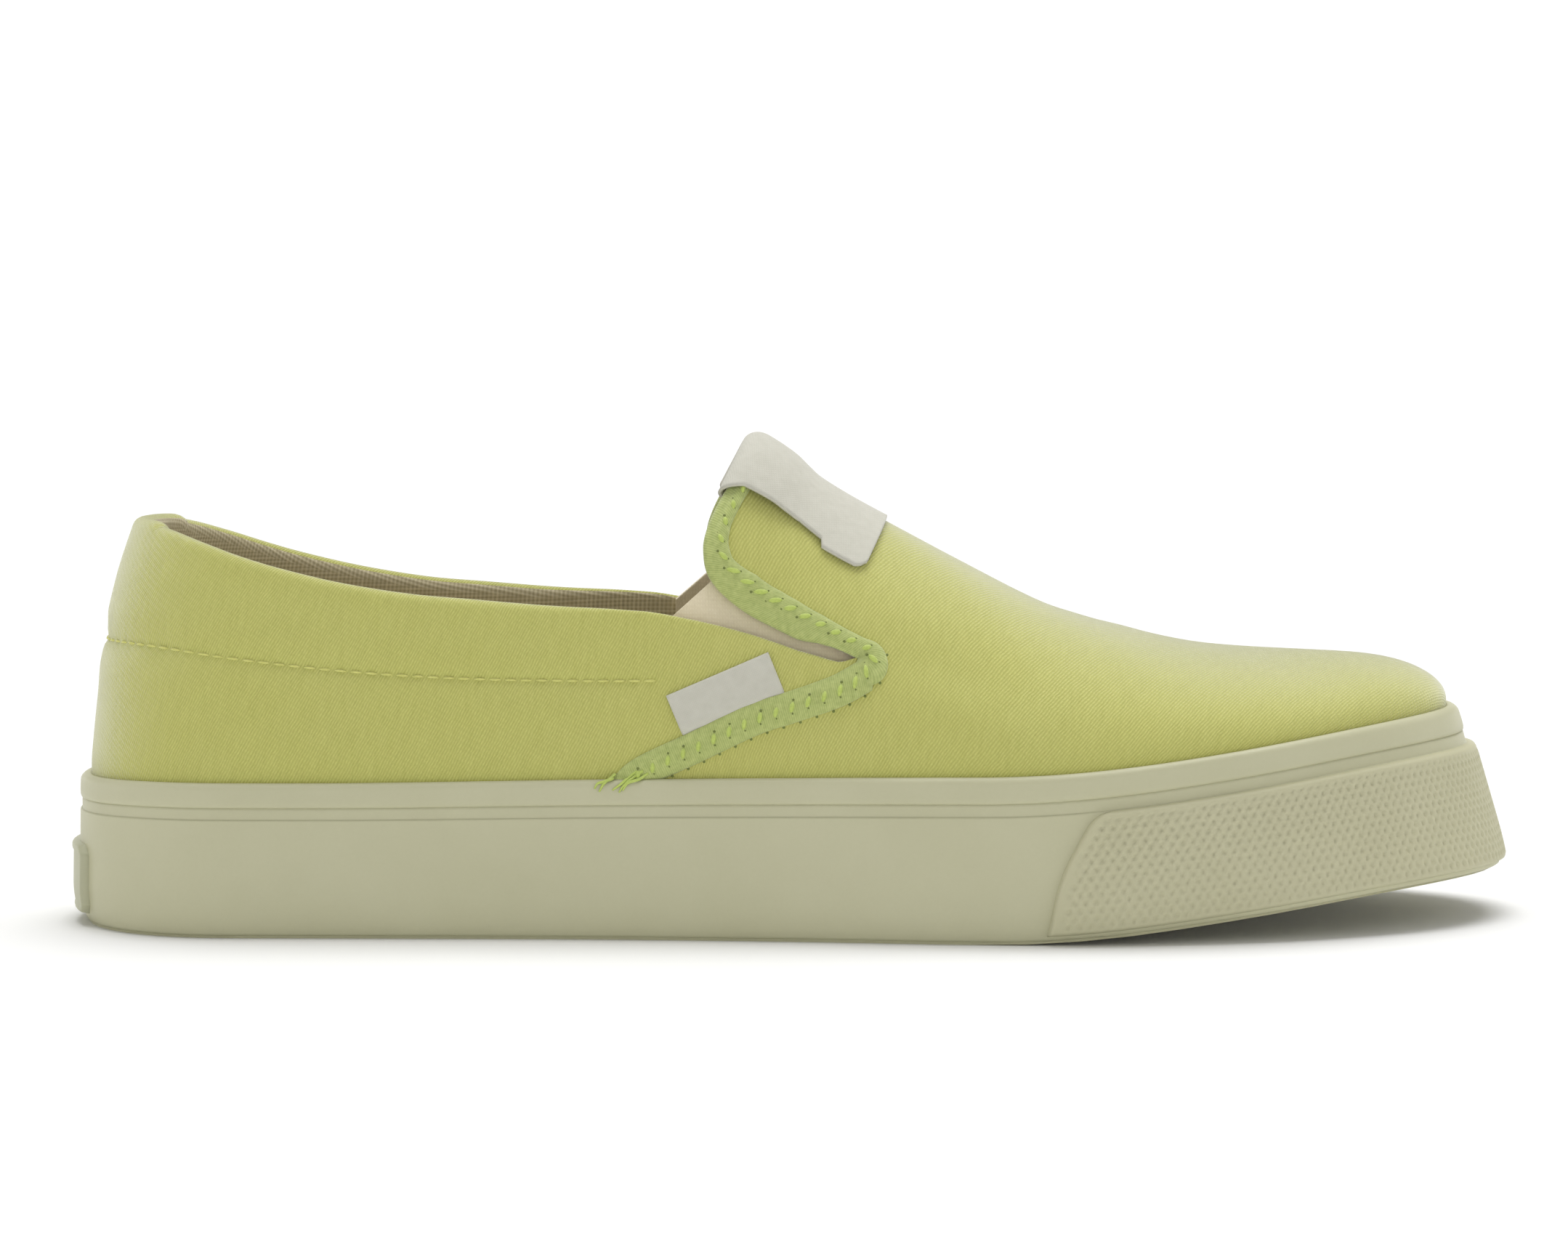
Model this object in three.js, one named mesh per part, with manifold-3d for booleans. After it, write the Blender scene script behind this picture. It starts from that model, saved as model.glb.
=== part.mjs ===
// A low slip-on canvas sneaker for the right foot, in millimetres.
// X runs from heel to toe, +Y is the inner (medial) side and +Z is up. The shoe stands on Z = 0.
import * as THREE from "three";
import { mergeVertices } from "three/addons/utils/BufferGeometryUtils.js";
import Module from "manifold-3d";

const wasm = await Module();
wasm.setup();
const { Manifold, Mesh: SolidMesh } = wasm;

// Driving sizes of the sole
const SOLE_LENGTH = 289; // ground outline of the foxing, heel to toe
const BALL_WIDTH = 103; // the same across the ball
const SOLE_HEIGHT = 33; // ground to the foxing's upper edge
const TOE_SPRING = 9.8; // lift of the toe over the ground
const TOE_FLARE = 9.6; // how far the toe's wall leans out at the ground
const SIDE_FLARE = 0.5;
const EDGE_ROLL = 1.8; // how far the wall draws in at its bottom edge
const EDGE_ROLL_HEIGHT = 9;
const TOE_EDGE_ROLL = 0.5;
const EDGE_ROLL_BENDS = [0.3, 1]; // where the wall bends, in shares of that height
const FOXING_THICKNESS = 1.7;
const FOXING_LIFT = 0.5; // tread to the foxing's bottom edge
const STRIP_HEIGHT = 5.2; // the rounded strip along the foxing's upper edge
const STRIP_ROUND = 1.1;
const STRIP_BEVEL = 0.5; // along its lower edge
const BAND_HEIGHT = 2.5; // the plain band under the strip
const BAND_RECESS = 0.4;
const OUTSOLE_THICKNESS = 17.7;
const BUMPER_THICKNESS = 1.1;
const BUMPER_LIFT = 0.9; // over the foxing's bottom edge
const BUMPER_CORNER = 3;
const TAB_THICKNESS = 1.3;
const TAB_WIDTH = 36;
const TAB_HEIGHT = 15.5;
const TAB_LIFT = 2.6; // tread to the tab's lower edge
const TAB_CORNER = 2.2;
const TREAD_DEPTH = 1.6;
const TREAD_GROOVE = 2.2;
const TREAD_PITCH = 9;
const TREAD_RIM = 9;

// Driving sizes of the upper, with each rise taken from the foxing's upper edge
const UPPER_RISE = 63.5; // to the top of the vamp
const HEEL_RISE = 51.4; // to the collar at the back of the heel
const SLIT_RISE = 23.2; // to the front corner of the side slit
const QUILT_RISE = 25; // to the row of stitching under the padded collar, at the heel
const WALL = 1.8; // canvas and lining together
const COLLAR_PADDING = 2.4; // foam between canvas and lining
const INSOLE_THICKNESS = 3.6;
const GORE_THICKNESS = 1.1;
const GORE_REACH = 10.4; // what the elastic goes under the quarter's edge
const GORE_TURN = 7.5; // what it goes under the vamp's edge
const GORE_RISE = 45.5; // to its highest point, under the vamp
const BINDING_WIDTH = 5.6;
const BINDING_THICKNESS = 0.8;
const LABEL_THICKNESS = 0.6;
const LABEL_LENGTH = 25.5; // along the shoe, from the vamp's edge
const LABEL_DROP = 13; // how far its sides hang below the ridge
const LABEL_TURN_IN = 9; // what folds over the edge to the inside
const TAG_THICKNESS = 0.7;
const TAG_LENGTH = 21.6;
const TAG_FROM_SLIT = 15; // from the slit's corner, down the binding
const TAG_HEIGHT = 9.2;

const GAP = 0.3; // between pieces that touch
const ROUND_MIDDLE = 1 - Math.SQRT1_2; // middle of a rounded corner, in shares of its radius
const SPECK = 1e-3; // volume of a cut's leftovers
const FINEST = 0.01; // shortest edge that a piece keeps
const STATIONS = 40; // along each side, heel to toe
const RIB_STEPS = 12; // from the foxing's edge to the ridge
const COLLAR_STEPS = 30; // along the collar's side view line
const FLAP_STEPS = 20;
const LOWER_STEPS = 12;
const NOSE_STEPS = 8; // round the slit's corner
const BUMPER_END_STEPS = 8;

// The sole's plan, in shares: at of the length, centre and half of the ball width, top of the sole's
// height.
const PLAN = [
  { at: 0.0, centre: -0.02, half: 0.36, top: 0.9 },
  { at: 0.06, centre: -0.021, half: 0.363, top: 0.92 },
  { at: 0.2, centre: -0.027, half: 0.362, top: 0.925 },
  { at: 0.36, centre: -0.048, half: 0.355, top: 0.95 },
  { at: 0.5, centre: -0.05, half: 0.388, top: 0.97 },
  { at: 0.6, centre: -0.024, half: 0.453, top: 0.985 },
  { at: 0.7, centre: 0.006, half: 0.5, top: 0.993 },
  { at: 0.8, centre: 0.04, half: 0.485, top: 0.995 },
  { at: 0.9, centre: 0.075, half: 0.452, top: 0.993 },
  { at: 1.0, centre: 0.105, half: 0.43, top: 0.993 },
];
// Stretches over which the toe changes, in shares of the length.
const SPRING_SPAN = { from: 0.624, to: 1 };
const FLARE_SPAN = { from: 0.74, to: 1 };
const ROLL_SPAN = { from: 0.7, to: 0.95 };
const HEEL_ROUND = { length: 0.12, power: 2.15 }; // length in shares of the sole's length
const TOE_ROUND = { length: 0.21, power: 2.2 };

// The last's ribs, in shares: at of the length, crown of the upper's rise.
// With rise r and inward shift s as shares, a rib is r^steep + (1 - s)^round = 1.
const RIBS = [
  { at: 0.0, crown: 1.38, steep: 1.5, round: 2.0 },
  { at: 0.15, crown: 1.41, steep: 1.5, round: 2.0 },
  { at: 0.3, crown: 1.39, steep: 1.5, round: 2.0 },
  { at: 0.4, crown: 1.25, steep: 1.6, round: 2.0 },
  { at: 0.476, crown: 1.005, steep: 1.65, round: 1.95 },
  { at: 0.542, crown: 0.808, steep: 1.7, round: 1.95 },
  { at: 0.6, crown: 0.662, steep: 1.75, round: 1.95 },
  { at: 0.66, crown: 0.509, steep: 1.85, round: 2.0 },
  { at: 0.72, crown: 0.391, steep: 1.95, round: 2.05 },
  { at: 0.79, crown: 0.28, steep: 2.1, round: 2.15 },
  { at: 0.87, crown: 0.211, steep: 2.3, round: 2.3 },
  { at: 0.94, crown: 0.175, steep: 2.4, round: 2.4 },
  { at: 1.0, crown: 0.16, steep: 2.4, round: 2.4 },
];
// Where the first and last ribs meet the ridge, as shares of the length.
const SPINE = { heel: 0.14, toe: 0.86 };

// The collar of the quarters: at of the length, rise from the slit's corner (0) to the heel (1).
const COLLAR = [
  { at: -0.2, rise: 1.0 },
  { at: 0.03, rise: 1.0 },
  { at: 0.0616, rise: 0.945 },
  { at: 0.09, rise: 0.855 },
  { at: 0.118, rise: 0.76 },
  { at: 0.15, rise: 0.665 },
  { at: 0.189, rise: 0.57 },
  { at: 0.237, rise: 0.487 },
  { at: 0.28, rise: 0.44 },
  { at: 0.333, rise: 0.385 },
  { at: 0.38, rise: 0.348 },
  { at: 0.419, rise: 0.307 },
  { at: 0.472, rise: 0.205 },
  { at: 0.5425, rise: 0.0 },
];
// The vamp's rear edge from the slit's corner (0) to the top of the vamp (1), read from below.
const FLAP = [
  { at: 0.5425, rise: 0.0 },
  { at: 0.52, rise: 0.08 },
  { at: 0.4967, rise: 0.163 },
  { at: 0.4691, rise: 0.268 },
  { at: 0.4482, rise: 0.4 },
  { at: 0.4428, rise: 0.513 },
  { at: 0.4446, rise: 0.618 },
  { at: 0.4563, rise: 0.787 },
  { at: 0.478, rise: 1.0 },
  { at: 0.498, rise: 1.2 },
];
// The upper edge of the binding's lower run, from the slit's corner down to the foxing, as shares of
// the slit's rise.
const LOWER_RUN = [
  { at: 0.541, rise: 0.945 },
  { at: 0.5233, rise: 0.828 },
  { at: 0.495, rise: 0.711 },
  { at: 0.467, rise: 0.6 },
  { at: 0.4277, rise: 0.375 },
  { at: 0.3918, rise: 0.168 },
  { at: 0.377, rise: 0.01 },
  { at: 0.366, rise: -0.14 },
];
const PADDING_END = { from: 0.3, to: 0.4 }; // where the collar's padding thins out, in shares of the length
const PADDING_FADE = 0.3; // how far over the quilting row it swells, in shares of the heel's rise
const QUILT_FALL = { by: 0.24, from: 0, to: 0.36 }; // how the quilting row drops towards the slit
const GORE_REAR = 0.415; // rear end of the elastic, as a share of the length
const NOSE_BULGE = 0.22; // how much wider the binding runs round the slit's corner
// Half of the tongue label's outline: at of its length from the vamp's edge, drop of its side's drop.
const LABEL_EDGE = [
  { at: -0.6, drop: 0.88 },
  { at: -0.13, drop: 0.87 },
  { at: 0, drop: 0.83 },
  { at: 0.235, drop: 0.8 },
  { at: 0.467, drop: 0.85 },
  { at: 0.475, drop: 0.99 },
  { at: 0.7, drop: 0.93 },
  { at: 0.75, drop: 0.82 },
  { at: 0.957, drop: 0 },
  { at: 1.05, drop: -0.4 },
];
// The rear edge of the toe bumper, as a share of the length, up the bumper's height.
const BUMPER_END = [
  { at: 0.668, rise: 0 },
  { at: 0.678, rise: 0.5 },
  { at: 0.7, rise: 1 },
];
// Stretches of the sole that carry cross grooves, as shares of the length.
const TREAD_ZONES = [
  { from: 0.07, to: 0.33 },
  { from: 0.47, to: 0.92 },
];

// Smooth curve through a table's column, by Catmull-Rom with the ends held.
function lookUp(table, column, share) {
  const last = table.length - 1;
  if (share <= table[0].at) return table[0][column];
  if (share >= table[last].at) return table[last][column];
  let k = 0;
  while (share > table[k + 1].at) k++;
  const slope = (i) => {
    const a = table[Math.max(i - 1, 0)];
    const b = table[Math.min(i + 1, last)];
    return (b[column] - a[column]) / (b.at - a.at);
  };
  const width = table[k + 1].at - table[k].at;
  const t = (share - table[k].at) / width;
  const [t2, t3] = [t * t, t * t * t];
  return (
    table[k][column] * (2 * t3 - 3 * t2 + 1) +
    table[k + 1][column] * (3 * t2 - 2 * t3) +
    slope(k) * width * (t3 - 2 * t2 + t) +
    slope(k + 1) * width * (t3 - t2)
  );
}

const ease = (from, to, value) => {
  const t = Math.min(Math.max((value - from) / (to - from), 0), 1);
  return t * t * (3 - 2 * t);
};
const easeAlong = (span, x) => ease(span.from, span.to, x / SOLE_LENGTH);

// Lift of the sole's underside and of everything on it.
const spring = (x) => TOE_SPRING * easeAlong(SPRING_SPAN, x);
const flare = (x) => SIDE_FLARE + (TOE_FLARE - SIDE_FLARE) * easeAlong(FLARE_SPAN, x);
// How far the side wall draws in towards its bottom edge.
function edgeRoll(x, height) {
  const most = EDGE_ROLL + (TOE_EDGE_ROLL - EDGE_ROLL) * easeAlong(ROLL_SPAN, x);
  const below = 1 - Math.min(Math.max(height, 0) / EDGE_ROLL_HEIGHT, 1);
  return most * below * below;
}
const soleTop = (x) => SOLE_HEIGHT * lookUp(PLAN, "top", x / SOLE_LENGTH);
const edgeHeight = (x) => spring(x) + soleTop(x);
const centreLine = (x) => BALL_WIDTH * lookUp(PLAN, "centre", x / SOLE_LENGTH);
const crownHeight = (x) =>
  edgeHeight(x) + UPPER_RISE * lookUp(RIBS, "crown", x / SOLE_LENGTH);

// Closes the plan at one end: 0 at the tip, 1 from the round's length inwards.
function endRound(distance, round) {
  const t = 1 - Math.min(distance / (round.length * SOLE_LENGTH), 1);
  return Math.pow(Math.max(1 - Math.pow(t, round.power), 0), 1 / round.power);
}

const halfWidth = (x) =>
  BALL_WIDTH *
  lookUp(PLAN, "half", x / SOLE_LENGTH) *
  endRound(x, HEEL_ROUND) *
  endRound(SOLE_LENGTH - x, TOE_ROUND);

// A point of the ground outline. turn runs 0 to 1 from the heel along the outer side to the toe,
// and on to 2 back along the inner side.
function outlinePoint(turn) {
  const x = (SOLE_LENGTH * (1 - Math.cos(Math.PI * turn))) / 2;
  const side = turn <= 1 ? -1 : 1;
  return new THREE.Vector2(x, centreLine(x) + side * halfWidth(x));
}

function outwardNormal(turn) {
  const step = 1e-3;
  const before = outlinePoint((turn - step + 2) % 2);
  const after = outlinePoint((turn + step) % 2);
  return new THREE.Vector2(after.y - before.y, before.x - after.x).normalize();
}

// A point on the sole's side: outward from the ground outline, and up in shares of the local sole height.
function solePoint(turn, outward, height) {
  const base = outlinePoint(turn);
  const share = height / SOLE_HEIGHT;
  const reach = outward - flare(base.x) * share;
  base.addScaledVector(outwardNormal(turn), reach);
  const x = THREE.MathUtils.clamp(base.x, 0, SOLE_LENGTH);
  return new THREE.Vector3(base.x, base.y, spring(x) + share * soleTop(x));
}

// The upper's outer face: climb runs 0 at the foxing's edge to 1 at the ridge.
const UPPER_INSET = FOXING_THICKNESS + GAP;
function upperPoint(turn, climb) {
  const foot = solePoint(turn, -UPPER_INSET, SOLE_HEIGHT);
  const along = outlinePoint(turn).x / SOLE_LENGTH;
  const spineX = SOLE_LENGTH * (SPINE.heel + (SPINE.toe - SPINE.heel) * along);
  const angle = (climb * Math.PI) / 2;
  const steep = lookUp(RIBS, "steep", along);
  const round = lookUp(RIBS, "round", along);
  const inward = 1 - Math.pow(Math.max(Math.cos(angle), 0), 2 / round);
  const rise = Math.pow(Math.sin(angle), 2 / steep);
  const x = foot.x + (spineX - foot.x) * inward;
  const y = foot.y + (centreLine(spineX) - foot.y) * inward;
  const z = edgeHeight(x) + (crownHeight(x) - edgeHeight(x)) * rise;
  return new THREE.Vector3(x, y, z);
}

function upperNormal(turn, climb) {
  const step = 2e-3;
  const low = Math.max(climb - step, 0);
  const high = Math.min(climb + step, 1);
  const up = upperPoint(turn, high).sub(upperPoint(turn, low));
  const near = Math.min(climb, 1 - step); // on the ridge itself the two sides meet
  const on = upperPoint((turn + step) % 2, near);
  on.sub(upperPoint((turn - step + 2) % 2, near));
  return on.cross(up).normalize();
}

// Turns a list of points and triangles into a solid with its faces out.
function solidOf(points, triangles) {
  const geometry = new THREE.BufferGeometry();
  const flat = points.flatMap((p) => [p.x, p.y, p.z]);
  geometry.setAttribute("position", new THREE.Float32BufferAttribute(flat, 3));
  geometry.setIndex(triangles.flat());
  return toSolid(geometry);
}

function toSolid(geometry) {
  geometry.deleteAttribute("normal");
  geometry.deleteAttribute("uv");
  const merged = mergeVertices(geometry, 1e-4);
  const index = Array.from(merged.index.array);
  const kept = [];
  for (let i = 0; i < index.length; i += 3) {
    const [a, b, c] = index.slice(i, i + 3);
    if (a !== b && b !== c && c !== a) kept.push(a, b, c);
  }
  const make = (triVerts) =>
    new Manifold(
      new SolidMesh({
        numProp: 3,
        vertProperties: merged.attributes.position.array,
        triVerts: new Uint32Array(triVerts),
      }),
    );
  const solid = make(kept);
  return solid.volume() < 0 ? make(kept.reverse()) : solid;
}

// Joins rings of equal length into a skin. A loop of rings closes on itself, and otherwise the ends are
// capped across, first side to second side.
function skinSolid(rings, isLoop = false) {
  const size = rings[0].length;
  const points = rings.flat();
  const triangles = [];
  const quad = (a, b, c, d) => triangles.push([a, b, c], [a, c, d]);
  const spans = isLoop ? rings.length : rings.length - 1;
  for (let j = 0; j < spans; j++) {
    const next = ((j + 1) % rings.length) * size;
    for (let i = 0; i < size; i++) {
      const on = (i + 1) % size;
      quad(j * size + i, j * size + on, next + on, next + i);
    }
  }
  if (!isLoop) {
    const top = (rings.length - 1) * size;
    for (let i = 0; i < size / 2; i++) {
      const [far, farNext] = [(size - i) % size, size - i - 1];
      quad(far, farNext, i + 1, i);
      quad(top + i, top + i + 1, top + farNext, top + far);
    }
  }
  return solidOf(points, triangles);
}

const TURNS = Array.from({ length: 2 * STATIONS }, (_, i) => i / STATIONS);

// A ring round the sole. isWall draws it in with the wall's rolled bottom edge.
const ringAt = (outward, height, isWall) =>
  TURNS.map((turn) => {
    const roll = isWall ? edgeRoll(outlinePoint(turn).x, height) : 0;
    return solePoint(turn, outward - roll, height);
  });

// A closed band round the sole from a section of [outward, height, isWall] corners.
const soleBand = (section) =>
  skinSolid(
    section.map((corner) => ringAt(...corner)),
    true,
  );

// A plate inside the sole's outline, from its levels of [outward, height].
const solePlate = (levels) =>
  skinSolid(levels.map((level) => ringAt(...level)));

// The heights at which the side wall bends, between two given heights.
function wallHeights(from, to) {
  const bends = EDGE_ROLL_BENDS.map((share) => share * EDGE_ROLL_HEIGHT);
  return [from, ...bends.filter((h) => h > from && h < to), to];
}

// The whole last, grown or shrunk from the upper's outer face by growth, a function of a point.
function lastSolid(growth, bottom) {
  const tucked = [bottom, (bottom + SOLE_HEIGHT) / 2].map((height) =>
    TURNS.map((turn) => {
      const there = solePoint(turn, -UPPER_INSET, height);
      return solePoint(turn, growth(there) - UPPER_INSET, height);
    }),
  );
  const climbs = Array.from({ length: RIB_STEPS + 1 }, (_, j) => j / RIB_STEPS);
  const ribs = climbs.map((climb) =>
    TURNS.map((turn) => {
      const onRidge = climb === 1;
      const mate = turn > 1 ? 2 - turn : turn;
      const point = upperPoint(onRidge ? mate : turn, climb);
      const normal = onRidge ? ridgeNormal(point.x) : upperNormal(turn, climb);
      return point.addScaledVector(normal, growth(point));
    }),
  );
  return skinSolid([...tucked, ...ribs]);
}

// On the ridge both sides share one normal, square to the ridge's own slope.
function ridgeNormal(x) {
  const step = 0.5;
  const fall = (crownHeight(x + step) - crownHeight(x - step)) / (2 * step);
  return new THREE.Vector3(-fall, 0, 1).normalize();
}

// A prism across the shoe from a side view outline of [x, z] corners.
function sidePrism(corners, fromY = -BALL_WIDTH, toY = BALL_WIDTH) {
  const shape = new THREE.Shape(corners.map(([x, z]) => new THREE.Vector2(x, z)));
  const prism = new THREE.ExtrudeGeometry(shape, {
    depth: toY - fromY,
    bevelEnabled: false,
    steps: 1,
  });
  prism.rotateX(Math.PI / 2);
  prism.translate(0, toY, 0);
  return toSolid(prism);
}

// A smooth side view line of [x, z] corners through a table, with its rises taken from the edge.
function sideCurve(table, riseOf, samples) {
  const points = table.map(
    (row) => new THREE.Vector2(row.at * SOLE_LENGTH, riseOf(row)),
  );
  return new THREE.SplineCurve(points)
    .getSpacedPoints(samples)
    .map((p) => [p.x, p.y + edgeHeight(p.x)]);
}

const collarLine = sideCurve(
  COLLAR,
  (row) => SLIT_RISE + (HEEL_RISE - SLIT_RISE) * row.rise,
  COLLAR_STEPS,
);
const flapLine = sideCurve(
  FLAP,
  (row) => SLIT_RISE + (UPPER_RISE - SLIT_RISE) * row.rise,
  FLAP_STEPS,
);
const lowerLine = sideCurve(LOWER_RUN, (row) => SLIT_RISE * row.rise, LOWER_STEPS);

// Moves a side view line to its left. Where it bends tighter than the shift, the fold is left out.
function shiftLine(line, amount) {
  const moved = line.map(([x, z], i) => {
    const [x0, z0] = line[Math.max(i - 1, 0)];
    const [x1, z1] = line[Math.min(i + 1, line.length - 1)];
    const step = amount / Math.hypot(x1 - x0, z1 - z0);
    return [x - (z1 - z0) * step, z + (x1 - x0) * step];
  });
  const least = Math.abs(amount) - FINEST;
  return moved.filter(([x, z]) =>
    line.every(([px, pz]) => Math.hypot(x - px, z - pz) > least),
  );
}

const SKY = 4 * UPPER_RISE; // over every part of the last
const [SLIT_X, SLIT_Z] = flapLine[0];
const [VAMP_TOP_X, VAMP_TOP_Z] = flapLine.find(([x, z]) => z >= crownHeight(x));

// The point of a line at a distance along it.
function pointAlong(line, distance) {
  let left = distance;
  for (let i = 1; i < line.length; i++) {
    const [[x0, z0], [x1, z1]] = [line[i - 1], line[i]];
    const length = Math.hypot(x1 - x0, z1 - z0);
    const share = left / length;
    if (share <= 1) return [x0 + (x1 - x0) * share, z0 + (z1 - z0) * share];
    left -= length;
  }
  return line[line.length - 1];
}

// All that lies over the collar's line, raised by a clearance.
function overCollar(clear) {
  const line = shiftLine(collarLine, clear);
  const front = SLIT_X + SOLE_LENGTH;
  const level = line[line.length - 1][1];
  const corners = [[front, level], [front, SKY], [-SOLE_LENGTH, SKY]];
  return sidePrism([...line, ...corners]);
}

// All that lies behind the vamp's edge, moved back by a clearance, or in front of it.
function besideFlap(clear, isBehind) {
  const line = shiftLine(flapLine, clear);
  const end = isBehind ? -SOLE_LENGTH : 2 * SOLE_LENGTH;
  const corners = [
    [line[line.length - 1][0], SKY],
    [end, SKY],
    [end, -SKY],
    [SLIT_X, -SKY],
  ];
  return sidePrism([...line, ...corners]);
}

// All that lies ahead of the vamp's top edge by more than a distance, cut straight along its slope.
function aheadOfTop(distance) {
  const [[x0, z0], [x1, z1]] = flapLine.slice(-2);
  const cutX = (z) => VAMP_TOP_X + distance + ((x1 - x0) / (z1 - z0)) * (z - VAMP_TOP_Z);
  const end = 2 * SOLE_LENGTH;
  return sidePrism([[cutX(0), 0], [end, 0], [end, SKY], [cutX(SKY), SKY]]);
}

// The foot's opening, with a clearance kept to both edges.
const opening = (clear) => overCollar(clear).intersect(besideFlap(clear, true));

// The wall is padded over the quilting row, as far forward as the slit's rear end.
function wallAt(p) {
  const rise = p.z - edgeHeight(p.x);
  const quilt = quiltRise(p.x);
  const behind = 1 - easeAlong(PADDING_END, p.x);
  const puff = ease(quilt, quilt + PADDING_FADE * HEEL_RISE, rise);
  return WALL + COLLAR_PADDING * behind * puff;
}

const quiltRise = (x) => QUILT_RISE * (1 - QUILT_FALL.by * easeAlong(QUILT_FALL, x));

function makeUpper() {
  const outer = lastSolid(() => 0, OUTSOLE_THICKNESS + GAP);
  const inner = lastSolid((p) => -wallAt(p), 0);
  return outer.subtract(inner).subtract(opening(0));
}

// The elastic gusset under each slit, between the quarter and the vamp.
function makeGore(side) {
  const clear = WALL + GAP;
  const skin = lastSolid(() => -clear, 0).subtract(
    lastSolid(() => -clear - GORE_THICKNESS, -SOLE_HEIGHT),
  );
  const rearX = GORE_REAR * SOLE_LENGTH;
  const lower = shiftLine(collarLine, -GORE_REACH).filter(
    ([x]) => x > rearX && x < SLIT_X,
  );
  const front = shiftLine(flapLine, -GORE_TURN).filter(
    ([x, z]) => z - edgeHeight(x) < GORE_RISE,
  );
  const onCollar = [rearX, lower[0][1] + GORE_REACH - GAP];
  const outline = [...lower, ...front, onCollar];
  const [fromY, toY] = side < 0 ? [-BALL_WIDTH, 0] : [0, BALL_WIDTH];
  return skin.intersect(sidePrism(outline, fromY, toY));
}

// Side view of the binding: up the vamp's edge, round the slit's corner and down to the foxing.
function bindingPrism(clear) {
  const behind = GAP + BINDING_THICKNESS + clear;
  const width = BINDING_WIDTH + clear;
  const upRun = [
    ...shiftLine(flapLine, behind),
    ...shiftLine(flapLine, -width).reverse(),
  ];
  const downRun = [
    ...shiftLine(lowerLine, -clear),
    ...shiftLine(lowerLine, width).reverse(),
  ];
  const [fromX, fromZ] = shiftLine(flapLine, -width)[0];
  const [toX, toZ] = shiftLine(lowerLine, width)[0];
  const fromAngle = Math.atan2(fromZ - SLIT_Z, fromX - SLIT_X);
  const toAngle = Math.atan2(toZ - SLIT_Z, toX - SLIT_X);
  const nose = [pointAlong(flapLine, GAP + clear)];
  for (let i = 0; i <= NOSE_STEPS; i++) {
    const share = i / NOSE_STEPS;
    const angle = fromAngle + (toAngle - fromAngle) * share;
    const reach = width * (1 + NOSE_BULGE * Math.sin(Math.PI * share));
    nose.push([SLIT_X + reach * Math.cos(angle), SLIT_Z + reach * Math.sin(angle)]);
  }
  nose.push(pointAlong(lowerLine, GAP + clear));
  return sidePrism(upRun).add(sidePrism(downRun)).add(sidePrism(nose.reverse()));
}

// The canvas of the upper with room all round, for what lies against it.
function upperWithRoom(room) {
  return lastSolid(() => room, 0)
    .subtract(lastSolid(() => -WALL - room, -SOLE_HEIGHT))
    .subtract(opening(room));
}

// All that lies under the foxing's upper edge.
const underEdge = () =>
  solePlate([
    [SOLE_HEIGHT, -SOLE_HEIGHT],
    [SOLE_HEIGHT, SOLE_HEIGHT + GAP],
  ]);

// The folded tape along the vamp's edge. clear makes it larger all round.
function makeBinding(clear = 0) {
  const outside = lastSolid(() => GAP + BINDING_THICKNESS + clear, 0);
  return outside
    .intersect(bindingPrism(clear))
    .subtract(lastSolid(() => -WALL - clear, -SOLE_HEIGHT))
    .subtract(upperWithRoom(GAP))
    .subtract(underEdge());
}

// The soft label folded over the top of the vamp.
function makeTongueLabel() {
  const overTape = (p) => {
    const past = VAMP_TOP_X + BINDING_WIDTH;
    return GAP + (BINDING_THICKNESS + GAP) * (1 - ease(past, past + BINDING_WIDTH, p.x));
  };
  const behind = 2 * GAP + BINDING_THICKNESS;
  const inside = lastSolid(() => -WALL - GAP, 0);
  const held = lastSolid(overTape, 0)
    .subtract(inside)
    .intersect(besideFlap(behind, false));
  const rear = besideFlap(behind + LABEL_THICKNESS, true);
  const pastTurnIn = inside.intersect(aheadOfTop(LABEL_TURN_IN));
  return lastSolid((p) => overTape(p) + LABEL_THICKNESS, 0)
    .subtract(lastSolid(() => -WALL - GAP - LABEL_THICKNESS, -SOLE_HEIGHT))
    .intersect(labelPrism())
    .subtract(held)
    .subtract(rear)
    .subtract(pastTurnIn);
}

// Side view of the label, which follows the ridge.
function labelPrism() {
  const line = LABEL_EDGE.map((row) => {
    const x = VAMP_TOP_X + row.at * LABEL_LENGTH;
    return [x, crownHeight(x) - row.drop * LABEL_DROP];
  });
  const rearX = line[0][0];
  return sidePrism([...line, [line[line.length - 1][0], SKY], [rearX, SKY]]);
}

// The small flat tag on the outer side, against the binding's lower run.
function makeSideTag() {
  const front = pointAlong(lowerLine, TAG_FROM_SLIT);
  const back = pointAlong(lowerLine, TAG_FROM_SLIT + TAG_LENGTH);
  const length = Math.hypot(back[0] - front[0], back[1] - front[1]);
  const [dx, dz] = [(back[0] - front[0]) / length, (back[1] - front[1]) / length];
  const place = (along, out) => [
    front[0] + dx * along + dz * out,
    front[1] + dz * along - dx * out,
  ];
  const outline = [
    place(0, -BINDING_WIDTH / 2),
    place(TAG_LENGTH, -BINDING_WIDTH / 2),
    place(TAG_LENGTH, TAG_HEIGHT),
    place(0, TAG_HEIGHT),
  ];
  return lastSolid(() => GAP + TAG_THICKNESS, 0)
    .subtract(lastSolid(() => GAP, -SOLE_HEIGHT))
    .intersect(sidePrism(outline.reverse(), -BALL_WIDTH, 0))
    .subtract(makeBinding(GAP));
}

const STRIP_FOOT = SOLE_HEIGHT - STRIP_HEIGHT;
const WALL_TOP = STRIP_FOOT - BAND_HEIGHT; // upper end of the foxing's main wall

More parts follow.
